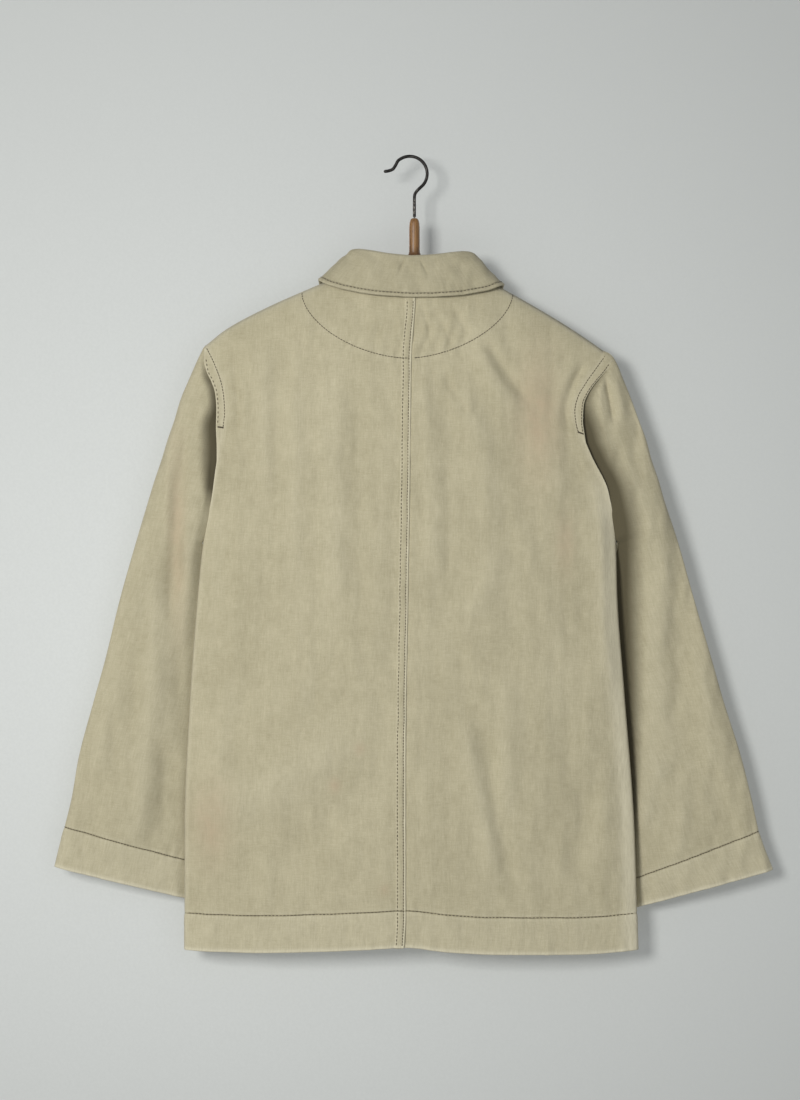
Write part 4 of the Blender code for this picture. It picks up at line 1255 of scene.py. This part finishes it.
# ---------------------------------------------------------------- topstitching
def outside_of_body(face, side, x, z):
    """Points on the outside of a body panel and its normals there, from slopes
    over a millimetre each way."""
    way, step = WAY[face], SLOPE_STEP

    def out(px, pz):
        """y of the outside at a place."""
        y = body_surface(face, side, px, pz)[..., 1]
        return y + (CLOTH_HALF + outer_extra(face, side, px, pz)) * way

    slope_x = (out(x + step, z) - out(x - step, z)) / (2 * step)
    slope_z = (out(x, z + step) - out(x, z - step)) / (2 * step)
    normal = np.stack([-slope_x * way, np.full(x.shape, way), -slope_z * way], axis=-1)
    return np.stack([x, out(x, z), z], axis=-1), unit(normal)


def outside_grid(sheet, half=CLOTH_HALF):
    """Outside points and normals of a sheet's grid."""
    middle, normal, extra = sheet[:3]
    return middle + normal * (half + extra)[..., None], normal


def lay_stitches(line, normals, step=STITCH_STEP):
    """Centres, directions and normals of stitches spaced evenly on a line."""
    total = run_along(line)
    at = np.arange(0.5 * step, total[-1] - 0.3 * step, step)

    def along(values, at):
        """Values at distances along the line."""
        return np.stack([np.interp(at, total, column) for column in values.T], axis=-1)

    ahead, behind = along(line, at + step * 0.3), along(line, at - step * 0.3)
    return along(line, at), unit(ahead - behind), unit(along(normals, at))


def body_run(face, side, x, z, **more):
    """A row of stitches over a body panel along x, z."""
    return lay_stitches(*outside_of_body(face, side, x, z), **more)


def grid_run(outside, row, column, **more):
    """A row of stitches at row and column numbers of a sheet's outside grids."""
    return lay_stitches(*(on_grid(grid, row, column) for grid in outside), **more)


def once_round(count):
    """Evenly spaced angles once round a circle."""
    return np.arange(count) / count * 2 * math.pi


def stitch_form(length):
    """One stitch: a round bead drawn out along its thread, thickest and highest
    at its middle, its two ends dipping into the cloth. Five rings of six and two
    poles."""
    along = np.array([-0.40, -0.20, 0.0, 0.20, 0.40]) * length
    size = STITCH_HALF * np.array([0.72, 0.96, 1.0, 0.96, 0.72])[:, None]
    lift = STITCH_HALF * np.array([-0.10, 0.28, 0.40, 0.28, -0.10])[:, None]
    turn = once_round(6)
    rings = np.stack([np.repeat(along, 6), (size * np.cos(turn)).ravel(),
                      (lift + size * np.sin(turn)).ravel()], axis=-1)
    poles = [[way * length / 2, 0, -0.6 * STITCH_HALF] for way in (-1, 1)]
    quads, *ends = ring_faces(5, 6)
    return np.concatenate([rings, poles]), (quads, np.concatenate(ends))


def sew(name, runs, material, length=STITCH_LENGTH):
    """A piece of many stitches. Each run is centres, directions and normals."""
    centre, along, normal = (np.concatenate(part) for part in zip(*runs))
    count = len(centre)
    draw = np.random.default_rng(count)
    skew = draw.normal(0, STITCH_SKEW, (count, 1))
    along = unit(along + unit(np.cross(normal, along)) * skew)
    across = unit(np.cross(normal, along))
    form, faces = stitch_form(length)
    long = 1 + draw.normal(0, STITCH_SPREAD, (count, 1, 1))
    points = (centre[:, None] + along[:, None] * form[:, :1] * long
              + across[:, None] * form[:, 1:2] + normal[:, None] * form[:, 2:])
    shift = (np.arange(count) * len(form))[:, None, None]
    shade = np.repeat(draw.uniform(-1, 1, count), len(form))
    return put_mesh(name, points.reshape(-1, 3),
                    [(part + shift).reshape(-1, part.shape[1]) for part in faces],
                    material, np.tile(form[:, :2], (count, 1)), {"shade": shade})


def half_moon_run():
    """Stitches of the neck facing: down from the collar on the left, round the
    bottom and up on the right, as the lower half of a superellipse."""
    turn = np.linspace(math.pi, 2 * math.pi, 400)
    across, down = np.cos(turn), np.abs(np.sin(turn))
    power = 2 / HALF_MOON_POWER
    across = np.sign(across) * np.abs(across) ** power
    x = HALF_MOON_CENTRE + HALF_MOON_HALF_WIDTH * across
    z = HALF_MOON_TOP - HALF_MOON_DEPTH * down ** power
    return [body_run("back", side, x[part], z[part], step=CLOSE_STEP)
            for side, part in (("left", x <= centre_x(z)), ("right", x > centre_x(z)))]


def body_stitches(material):
    """All rows sewn on the body: hem, centre-back fell, neck facing, front edge."""
    hems, height = [], HEM_HEIGHT + HEM_BAND
    for face in WAY:
        for side, sign in SIGN.items():
            lap = FRONT_LAP * (1 if side == "left" else 0.2) * (face == "front")
            x = np.linspace(side_x(side, height) - sign * 0.0035,
                            centre_x(height) + sign * (0.001 - lap), 300)
            hems.append(body_run(face, side, x, hem_height(x) + HEM_BAND))
    sew("stitches_hem", hems, material)
    z = np.linspace(-0.1600, -0.8690, 500)
    line = centre_x(z) + 0.0002 * waves(z / 0.05, z * 0, 81)
    sew("stitches_centre_back", [
        body_run("back", "left", line - row, z, step=step)
        for row, step in zip(FELL_ROWS, (CLOSE_STEP, STITCH_STEP))], material)
    z = np.linspace(NECK_HEIGHT["front"] - 0.012, -0.8640, 400)
    edge = centre_x(z) + FRONT_LAP
    sew("stitches_front_edge",
        [body_run("front", "left", edge - row, z) for row in EDGE_ROWS], material)
    sew("stitches_neck_facing", half_moon_run(), material)


def armhole_stitches(side, material):
    """Two rows along the felled armhole seam, back and front, and a bar tack
    across their foot."""
    runs = []
    for face in WAY:
        feet = []
        for row, step in zip(ARMHOLE_ROWS[side], (CLOSE_STEP, ARMHOLE_STEPS[side])):
            line = smooth_run(np.stack([row["x"], row["height"]], axis=-1), 160)
            runs.append(body_run(face, side, *line.T, step=step))
            feet.append(line[-1])
        tack_x, tack_z = (feet[0] + (feet[1] - feet[0])
                          * np.linspace(-0.1, 1.1, 12)[:, None]).T
        runs += [body_run(face, side, tack_x, tack_z + shift, step=TACK_STEP)
                 for shift in (-0.0005, 0.0004)]
    sew("stitches_armhole_" + side, runs, material)


def cuff_stitches(side, sheet, above, material):
    """One row round a cuff, where its turned edge is sewn down."""
    columns = np.arange(above.shape[1] - 1)
    row = [np.interp(0.0, -above[:, column], np.arange(len(above))) for column in columns]
    sew("stitches_cuff_" + side,
        [grid_run(outside_grid(sheet), row, columns, step=CLOSE_STEP)], material)


def collar_stitches(sheet, to_edge, material):
    """One row all round the collar, in from its loose edge and its two ends."""
    outside = outside_grid(sheet, COLLAR_HALF)
    row = np.interp(-COLLAR_ROW, -to_edge[:, 0], np.arange(len(to_edge)))
    last = to_edge.shape[1] - 1
    inset = np.interp(COLLAR_END_ROW, run_along(outside[0][int(row)])[1:], np.arange(last))
    runs = [grid_run(outside, row, np.arange(inset, last - inset, 0.5))]
    fall = np.linspace(COLLAR_FALL_FROM, row, 30)
    runs += [grid_run(outside, fall, end) for end in (inset, last - inset)]
    sew("stitches_collar", runs, material)


# ------------------------------------------------------------- buttons, hanger
def closed_rings(name, rings, poles, material):
    """A closed skin over rings of points, capped at its two poles and turned to
    face outward. Marks: along, from 0 at the first ring to 1 at the last."""
    rows, around = rings.shape[:2]
    points = np.concatenate([rings.reshape(-1, 3), poles])
    faces = ring_faces(rows, around)
    first, second, third = np.moveaxis(points[faces[0][:, :3]], 1, 0)
    centre = np.repeat(rings.mean(axis=1)[:-1], around, axis=0)
    if np.sum(np.cross(second - first, third - first) * (first - centre)) < 0:
        faces = [part[:, ::-1] for part in faces]
    along = np.append(np.repeat(np.linspace(0, 1, rows), around), [0.0, 1.0])
    return put_mesh(name, points, faces, material, marks={"along": along})


def turned(name, knots, count, around, place, material, down=False, dents=()):
    """A round piece: a smooth profile of (radius, out), its ends on the axis,
    turned about an axis along y, or down along z. Dents are (x, z, radius,
    depth) pressed into its face."""
    profile = smooth_run(knots, count)
    turn = once_round(around)
    across = profile[1:-1, :1] * np.cos(turn)
    over = profile[1:-1, :1] * np.sin(turn)
    out = np.repeat(profile[1:-1, 1:], around, axis=1)
    for dent_x, dent_z, radius, depth in dents:
        gap = np.hypot(across - dent_x, over - dent_z)
        face = out > profile[:, 1].max() * 0.35
        out = out - depth * face * soft_step((radius * 1.15 - gap) / (radius * 0.35))

    def placed(x, over, out):
        """Points from distances across, over and along the axis."""
        return np.stack([x, over, -out] if down else [x, out, over], axis=-1) + place

    return closed_rings(name, placed(across, over, out),
                        placed(np.zeros(2), np.zeros(2), profile[[0, -1], 1]), material)


def swept(name, path, radius, around, material):
    """A round bar along a path in x and z, with domed ends."""
    tangent, total = unit(np.gradient(path, axis=0)), run_along(path)
    end_gap = np.minimum(total, total[-1] - total)
    dome = np.sqrt(np.clip(1 - (1 - np.clip(end_gap / radius, 0, 1)) ** 2, 0.02, 1.0))
    size, turn = (radius * dome)[:, None], once_round(around)
    rings = np.stack([path[:, :1] + tangent[:, 1:] * size * np.cos(turn),
                      size * np.sin(turn),
                      path[:, 1:] - tangent[:, :1] * size * np.cos(turn)], axis=-1)
    return closed_rings(name, rings, np.insert(path[[0, -1]], 1, 0.0, axis=1), material)


def make_buttons(button_material, thread_material):
    """Five four-hole buttons, each with a dished face, a rounded rim, and thread
    crossed through its holes, over a worked buttonhole on the front."""
    r, t, gap = BUTTON_RADIUS, BUTTON_THICKNESS, BUTTON_HOLE_GAP
    knots = np.array(BUTTON_PROFILE) * (r, t)
    dents = [(sx * gap, sz * gap, BUTTON_HOLE_RADIUS, BUTTON_HOLE_DEPTH)
             for sx in (-1, 1) for sz in (-1, 1)]
    turn = np.linspace(0, 2 * math.pi, 90)
    threads, holes = [], []
    for number in range(BUTTON_COUNT):
        height = BUTTON_TOP - number * BUTTON_STEP
        x = float(centre_x(height)) + BUTTON_OFFSET
        cloth = float(body_depth("left", np.asarray(x), np.asarray(height)))
        seat = np.array([x, cloth + SEAM_GAP / 2 + FRONT_LIFT + CLOTH_HALF + BUTTON_STAND,
                         height])
        node = "button_%d" % (number + 1)
        shown_for(turned(node + "_turned", knots, 46, 72, seat, button_material,
                         dents=dents), node)
        for slant in (1, -1):
            for shift in (-THREAD_SHIFT, THREAD_SHIFT):
                centre = seat + np.array([slant * shift, 0.66 * t + 0.0001, -shift])
                threads.append((centre[None], unit(np.array([[1.0, 0.0, slant]])),
                                np.array([[0.0, 1.0, 0.0]])))
        holes.append(body_run("front", "left",
                              x + BUTTONHOLE_OFFSET + BUTTONHOLE_HALF[0] * np.cos(turn),
                              height + BUTTONHOLE_HALF[1] * np.sin(turn),
                              step=BUTTONHOLE_STEP))
    sew("button_threads", threads, thread_material, length=2.9 * gap)
    sew("stitches_buttonholes", holes, thread_material, length=BUTTONHOLE_STITCH)


def hook_path():
    """Centre line of the hook wire: a flat tip, an S turn, the round bend and the
    straight shaft, drawn smooth through their points."""
    turn = np.radians(np.linspace(132, -52, 19))
    bend = np.stack([np.cos(turn), np.sin(turn)], axis=-1) * HOOK_RADIUS + HOOK_CENTRE
    return smooth_run(np.concatenate([HOOK_TIP, bend, HOOK_SHAFT]), 150)


def make_hanger(wire_material, wood_material):
    """The hook wire, the turned neck and the wishbone body of the hanger."""
    shown_for(swept("hanger_hook_wire", hook_path(), HOOK_WIRE, 24, wire_material),
              "hanger_hook")
    shown_for(turned("hanger_neck_turned", NECK_PROFILE, 60, 48, (SHAFT_X, 0.0, NECK_TOP),
                     wood_material, down=True), "hanger_neck")
    share = np.sin(np.linspace(-math.pi / 2, math.pi / 2, 161))
    out = np.abs(share)
    x = SHAFT_X + share * HANGER_REACH
    line = np.where(share < 0, shoulder_height("left", x), shoulder_height("right", x))
    slope = NECK_FOOT - SEAM_GAP + HANGER_SLOPE * (
        HANGER_PEAK - np.sqrt((out * HANGER_REACH) ** 2 + HANGER_PEAK ** 2))
    top = np.pad(np.minimum(line - HANGER_DROP, slope), 4, mode="edge")
    top = np.convolve(top, np.ones(9) / 9, mode="valid")
    end = np.clip((out - HANGER_END) / (1 - HANGER_END), 0, 1)
    end = np.sqrt(np.clip(1 - end ** 2, 0.03, 1))
    tall, thick = (size - loss * out for size, loss in (HANGER_TALL, HANGER_THICK))
    turn = once_round(28)
    round_y, round_z = (np.sign(part) * np.abs(part) ** HANGER_SQUARE
                        for part in (np.cos(turn), np.sin(turn)))
    rings = np.stack([np.repeat(x[:, None], 28, axis=1),
                      (thick * end)[:, None] / 2 * round_y,
                      (top - tall / 2)[:, None] + (tall * end)[:, None] / 2 * round_z],
                     axis=-1)
    shown_for(closed_rings("hanger_body_carved", rings, rings[[0, -1]].mean(axis=1),
                           wood_material), "hanger_body")


# ------------------------------------------------------------------ materials
def toned(colour, tone):
    """A colour made darker or lighter."""
    return tuple(part * tone for part in colour)


class Look:
    """A principled material with makers for its nodes, whose inputs are numbers,
    colours or the outputs of other nodes."""

    def __init__(self, name, roughness, **sockets):
        """The material, its shader's values and the object's own coordinates."""
        self.material = bpy.data.materials.new(name)
        self.material.use_nodes = True
        self.tree = self.material.node_tree
        self.shader = self.tree.nodes["Principled BSDF"]
        self.feed(self.shader, {"Roughness": roughness})
        self.feed(self.shader, {key.replace("_", " "): sockets[key] for key in sockets})
        self.space = self.add("ShaderNodeTexCoord").outputs["Object"]

    def feed(self, node, links):
        """Sets or links the inputs of a node."""
        for key, value in links.items():
            if isinstance(value, bpy.types.NodeSocket):
                self.tree.links.new(value, node.inputs[key])
            else:
                node.inputs[key].default_value = value

    def add(self, kind, links=None, **settings):
        """A node with its settings and inputs."""
        node = self.tree.nodes.new(kind)
        for key, value in settings.items():
            setattr(node, key, value)
        self.feed(node, links or {})
        return node

    def grain(self):
        """The cloth's own coordinates, in metres along weft and warp."""
        return self.add("ShaderNodeUVMap", uv_map="grain").outputs[0]

    def mark(self, name):
        """A point attribute of the mesh."""
        return self.add("ShaderNodeAttribute", attribute_name=name).outputs["Fac"]

    def maths(self, kind, first, second):
        """Output of a Math node."""
        return self.add("ShaderNodeMath", {0: first, 1: second},
                        operation=kind).outputs[0]

    def weighted(self, *parts):
        """Sum of values times their shares."""
        products = [self.maths("MULTIPLY", value, share) for value, share in parts]
        total = products[0]
        for product in products[1:]:
            total = self.maths("ADD", total, product)
        return total

    def between(self, value, low, high, to_low=0.0, to_high=1.0):
        """A value carried from one range to another."""
        return self.add("ShaderNodeMapRange", {
            "Value": value, "From Min": low, "From Max": high, "To Min": to_low,
            "To Max": to_high}, clamp=True).outputs[0]

    def mix(self, amount, *colours):
        """Two colours mixed by an amount."""
        first, second = ((*colour, 1.0) if isinstance(colour, tuple) else colour
                         for colour in colours)
        return self.add("ShaderNodeMix", {0: amount, 6: first, 7: second},
                        data_type="RGBA").outputs[2]

    def drawn(self, vector, stretch=(1.0, 1.0, 1.0), turn=0.0):
        """Coordinates turned and drawn out."""
        return self.add("ShaderNodeMapping", {"Vector": vector, "Scale": stretch,
                                              "Rotation": (0, 0, turn)}).outputs[0]

    def noise(self, vector, scale, detail=2.0, rough=0.5, stretch=None, turn=0.0):
        """Noise over coordinates, which may first be turned and drawn out."""
        if stretch:
            vector = self.drawn(vector, stretch, turn)
        return self.add("ShaderNodeTexNoise", {
            "Vector": vector, "Scale": scale, "Detail": detail,
            "Roughness": rough}).outputs["Fac"]

    def finish(self, colour, roughness, height, strength, distance):
        """The material, with its colour, roughness and bump linked."""
        bump = self.add("ShaderNodeBump", {"Height": height, "Strength": strength,
                                           "Distance": distance}).outputs[0]
        self.feed(self.shader, {"Base Color": colour, "Roughness": roughness,
                                "Normal": bump})
        return self.material


def denim(name, tone):
    """Worn stone-coloured denim: fine diagonal twill, slub streaks along the warp,
    faint weft bars, slow mottling, faded edges and ridges, painted shade and
    painted light carried by the marks, and a few rosy stains."""
    look = Look(name, 0.9, Sheen_Weight=0.16, Sheen_Roughness=0.55,
                Sheen_Tint=DENIM_SHEEN, Specular_IOR_Level=0.22)
    grain, wear_and_painted_shading = look.grain(), look.mark("wear_and_painted_shading")
    slub = look.noise(grain, 1.0, 3.0, 0.62, (640.0, 70.0, 1.0))
    long_slub = look.noise(grain, 1.0, 2.0, 0.5, (170.0, 9.0, 1.0))
    weft = look.noise(grain, 1.0, 2.0, 0.5, (95.0, 760.0, 1.0))
    speck = look.noise(grain, 900.0, 3.0, 0.7)
    cloud = look.noise(look.space, 13.0, 4.0, 0.6)
    patch = look.noise(look.space, 60.0, 4.0, 0.65)
    twill = look.add("ShaderNodeTexWave", {
        "Vector": look.drawn(grain, turn=math.radians(-35)), "Scale": TWILL_SCALE,
        "Distortion": 1.2, "Detail": 1.0, "Detail Scale": 3.0},
        wave_type="BANDS", bands_direction="X").outputs["Fac"]
    total = look.weighted(*((look.between(value, low, 1 - low, -1, 1), share)
                            for value, low, share in (
        (slub, 0.3, 0.32), (long_slub, 0.3, 0.12), (weft, 0.3, 0.24), (speck, 0.3, 0.36),
        (cloud, 0.3, 0.26), (patch, 0.3, 0.25), (twill, 0.0, 0.10))))
    frayed = look.maths("MULTIPLY", wear_and_painted_shading, look.between(slub, 0.25, 0.75, 0.55, 1.35))
    base = look.mix(look.between(total, -1.0, 1.0), toned(DENIM_DARK, tone),
                    toned(DENIM_LIGHT, tone))
    faded = look.mix(look.between(frayed, 0.0, 1.0), base, toned(DENIM_FADED, tone))
    # Painted shade: negative marks mix the colour towards the darkest painted shade.
    with_painted_shade = look.mix(look.between(wear_and_painted_shading, 0.0, -1.0), faded, DENIM_PAINTED_SHADE)
    blotch = look.maths("MULTIPLY", look.mark("stain"),
                        look.between(patch, 0.3, 0.7, 0.5, 1.2))
    stained = look.mix(look.between(blotch, 0.0, 1.0), with_painted_shade, DENIM_STAIN)
    height = look.weighted((twill, 0.00016), (slub, 0.00022), (weft, 0.00016),
                           (speck, 0.00022), (patch, 0.00060))
    return look.finish(stained, look.between(total, -1, 1, 0.96, 0.80), height, 0.55, 1.0)


def sewing_thread():
    """Dark olive cotton thread, plied, each stitch a little lighter or darker."""
    look = Look("cotton_thread", 0.7, Sheen_Weight=0.2, Specular_IOR_Level=0.3)
    patch = look.noise(look.space, 60.0, 2.0)
    ply = look.add("ShaderNodeTexWave", {
        "Vector": look.drawn(look.grain(), turn=math.radians(50)), "Scale": 420.0},
        bands_direction="X").outputs["Fac"]
    mixed = look.maths("ADD", look.maths("MULTIPLY", look.mark("shade"), 0.22), patch)
    colour = look.mix(look.between(mixed, 0.15, 0.85), THREAD_DARK, THREAD_LIGHT)
    return look.finish(colour, look.between(ply, 0, 1, 0.62, 0.82), ply, 0.5, 0.00012)


def waxed_wood():
    """Brown waxed beech: long grain, fine pores, a darker flare, worn soft sheen."""
    look = Look("waxed_wood", 0.45, Coat_Weight=0.12, Coat_Roughness=0.35)
    grain = look.noise(look.space, 1.0, 4.0, 0.6, (520.0, 520.0, 26.0))
    rings = look.noise(look.space, 1.0, 2.0, 0.5, (150.0, 150.0, 9.0))
    pores = look.noise(look.space, 1.0, 1.0, 0.5, (2600.0, 2600.0, 240.0))
    total = look.weighted((grain, 0.6), (rings, 0.4))
    colour = look.mix(look.between(total, 0.32, 0.68), WOOD_DARK, WOOD_LIGHT)
    z = look.add("ShaderNodeSeparateXYZ", {0: look.space}).outputs["Z"]
    flare = look.maths("MULTIPLY", look.between(z, NECK_FOOT + 0.012, NECK_FOOT + 0.001),
                       look.between(z, NECK_FOOT - 0.0002, NECK_FOOT - 0.0004, 1.0, 0.0))
    colour = look.mix(look.maths("MULTIPLY", flare, 0.85), colour, WOOD_FLARE)
    colour = look.mix(look.between(pores, 0.60, 0.72, 0.0, 0.5), colour, WOOD_PORE)
    height = look.maths("SUBTRACT", look.maths("MULTIPLY", grain, 0.0002),
                        look.maths("MULTIPLY", pores, 0.0001))
    return look.finish(colour, look.between(grain, 0.3, 0.7, 0.38, 0.58), height, 0.5,
                       1.0)


def dark_wire():
    """Blackened steel wire: a thin dark lacquer, scuffed to grey metal in spots and
    down the straight shaft."""
    look = Look("dark_wire", 0.4, Metallic=0.65)
    scuff = look.noise(look.space, 380.0, 4.0, 0.65)
    drawn = look.noise(look.space, 1.0, 2.0, 0.5, (3000.0, 3000.0, 120.0))
    bare = look.maths("MULTIPLY", look.between(scuff, 0.52, 0.68),
                      look.between(look.mark("along"), 0.70, 0.85, 0.25, 0.85))
    return look.finish(look.mix(bare, WIRE_DARK, WIRE_BARE),
                       look.between(scuff, 0.3, 0.7, 0.30, 0.55), drawn, 0.3, 0.00015)


def button_plastic():
    """Brown marbled button stuff: soft swirls, dulled and scuffed face."""
    look = Look("button_plastic", 0.35, Coat_Weight=0.2, Coat_Roughness=0.25)
    swirl = look.noise(look.space, 190.0, 3.0, 0.55)
    streak = look.noise(look.space, 1.0, 3.0, 0.6, (110.0, 400.0, 430.0), 0.6)
    scuff = look.noise(look.space, 1900.0, 3.0, 0.7)
    both = look.weighted((swirl, 0.5), (streak, 0.5))
    colour = look.mix(look.between(both, 0.36, 0.64), BUTTON_DARK, BUTTON_LIGHT)
    return look.finish(colour, look.between(scuff, 0.35, 0.7, 0.28, 0.5), scuff, 0.2,
                       0.0001)


def plain_matt(name, colour, painted_light_at=None):
    """A matt surface of paint with the faintest unevenness, and, if a place is
    given, a painted pool of light round it, darker away from it. Its emission
    colour is its own colour."""
    look = Look(name, 0.9, Specular_IOR_Level=0.2)
    cloud = look.noise(look.space, 3.0, 2.0)
    grit = look.noise(look.space, 320.0, 3.0, 0.6)
    mixed = look.mix(cloud, toned(colour, 0.985), colour)
    mixed = look.mix(look.between(grit, 0.35, 0.65), toned(colour, 0.955), mixed)
    # Painted pool of light: brighter round the given place, darker away from it.
    if painted_light_at:
        away = look.add("ShaderNodeVectorMath", {0: look.space, 1: painted_light_at},
                        operation="DISTANCE").outputs["Value"]
        mixed = look.mix(look.between(away, 0.15, 0.95), mixed, toned(colour, WALL_PAINTED_DIMMING))
    look.feed(look.shader, {"Base Color": mixed, "Emission Color": mixed})
    return look


# ---------------------------------------------------------------------- stage
def staged_plane(name, corners, material):
    """A flat rectangle of the room, which isn't part of the object."""
    mesh = bpy.data.meshes.new(name)
    mesh.from_pydata(corners, [], [(0, 1, 2, 3)])
    mesh.materials.append(material)
    plane = bpy.data.objects.new(name, mesh)
    bpy.context.scene.collection.objects.link(plane)
    return plane


def make_room():
    """A pale wall just behind the jacket, seen only from its front, glowing with
    painted light and with a painted pool of light on it, and a pale floor below it."""
    look = plain_matt("wall_paint", WALL_COLOUR, WALL_PAINTED_LIGHT_AT)
    # Painted light: the wall glows, lightening the shadows cast on it.
    look.feed(look.shader, {"Emission Strength": WALL_GLOW / WALL_COLOUR[0]})
    mix = look.add("ShaderNodeMixShader", {
        0: look.add("ShaderNodeNewGeometry").outputs["Backfacing"],
        1: look.shader.outputs[0], 2: look.add("ShaderNodeBsdfTransparent").outputs[0]})
    look.feed(look.tree.nodes["Material Output"], {"Surface": mix.outputs[0]})
    y, low, wide = WALL_AT, FLOOR_AT, WALL_HALF
    wall = staged_plane("wall", [(-wide, y, low), (wide, y, low), (wide, y, WALL_TOP),
                                 (-wide, y, WALL_TOP)], look.material)
    for kind in ("diffuse", "glossy", "transmission", "shadow"):
        setattr(wall, "visible_" + kind, False)
    x, y = FLOOR_HALF
    staged_plane("floor", [(-x, -y, low), (x, -y, low), (x, y, low), (-x, y, low)],
                 plain_matt("floor_paint", FLOOR_COLOUR).material)


def area_light(name, place, size, power, colour=(1, 1, 1)):
    """A square soft light turned towards the jacket."""
    data = bpy.data.lights.new(name, "AREA")
    data.shape = "RECTANGLE"
    data.size = data.size_y = size
    data.energy = power
    data.color = colour
    lamp = bpy.data.objects.new(name, data)
    lamp.location = place
    aim = Vector(LIGHTS_AIM) - Vector(place)
    lamp.rotation_euler = aim.to_track_quat("-Z", "Y").to_euler()
    bpy.context.scene.collection.objects.link(lamp)


def make_lights():
    """A soft key from upper left in front, fills all round and a pale world."""
    area_light("key", (-1.30, -2.85, 0.12), 0.85, KEY_POWER, (1.0, 0.985, 0.955))
    area_light("fill_front", (0.9, -2.6, -0.1), 2.2, FILL_POWER, (0.97, 0.985, 1.0))
    area_light("fill_behind_left", (-1.6, 2.3, 0.4), 1.6, BACK_POWER)
    area_light("fill_behind_right", (1.9, 1.9, 0.2), 1.6, BACK_POWER * 0.6)
    world = bpy.data.worlds.new("pale_room")
    world.use_nodes = True
    ground = world.node_tree.nodes["Background"]
    ground.inputs["Color"].default_value = WORLD_COLOUR
    ground.inputs["Strength"].default_value = WORLD_STRENGTH
    bpy.context.scene.world = world


def make_camera():
    """A long lens square to the back of the jacket."""
    data = bpy.data.cameras.new("camera")
    data.lens = 85.0
    data.sensor_width = 36.0
    data.sensor_fit = "AUTO"
    data.clip_start = 0.05
    data.clip_end = 60.0
    camera = bpy.data.objects.new("camera", data)
    camera.location = CAMERA_AT
    camera.rotation_euler = (math.pi / 2, 0.0, 0.0)
    bpy.context.scene.collection.objects.link(camera)
    bpy.context.scene.camera = camera


# ----------------------------------------------------------------------- make
def hang_cloth(node, sheet, material, cut, area, rests_on, **more):
    """A cloth piece shown over its solid. Its cut size, area and what it rests on are not
    used.
    """
    piece = cloth_sheet("cloth_" + node, sheet, material, **more)
    shown_for(piece, node)


def make_jacket(thread):
    """Every cloth piece over its solid, and the rows of stitches on them."""
    cloth = denim("denim_body", 0.97)
    for face in WAY:
        for side in SIGN:
            hang_cloth("%s_%s" % (face, side), body_sheet(face, side), cloth,
                       PANEL_CUT[face], PANEL_AREA[face], ["hanger_body"])
    for side, tone in (("left", 0.94), ("right", 0.96)):
        sheet, above = sleeve_sheet(side)
        place, loops = sleeve_loops(*sheet[0].shape[:2])
        hang_cloth("sleeve_" + side, sheet, denim("denim_sleeve_" + side, tone),
                   SLEEVE_CUT, SLEEVE_AREA, ["cloth_back_" + side], place=place,
                   loops=loops)
        armhole_stitches(side, thread)
        cuff_stitches(side, sheet, above, thread)
    sheet, to_edge = collar_sheet()
    # Painted shade: the collar is a darker copy of the denim, tone 0.86, so that its
    # upward-facing fall looks less lit.
    hang_cloth("collar", sheet, denim("denim_collar", 0.86), COLLAR_CUT, COLLAR_AREA,
               ["cloth_back_left", "cloth_back_right"], half=COLLAR_HALF)
    collar_stitches(sheet, to_edge, thread)
    body_stitches(thread)


make_camera()
thread = sewing_thread()
make_jacket(thread)
make_buttons(button_plastic(), thread)
make_hanger(dark_wire(), waxed_wood())
make_room()
make_lights()
bpy.context.scene.view_settings.view_transform = "Standard"
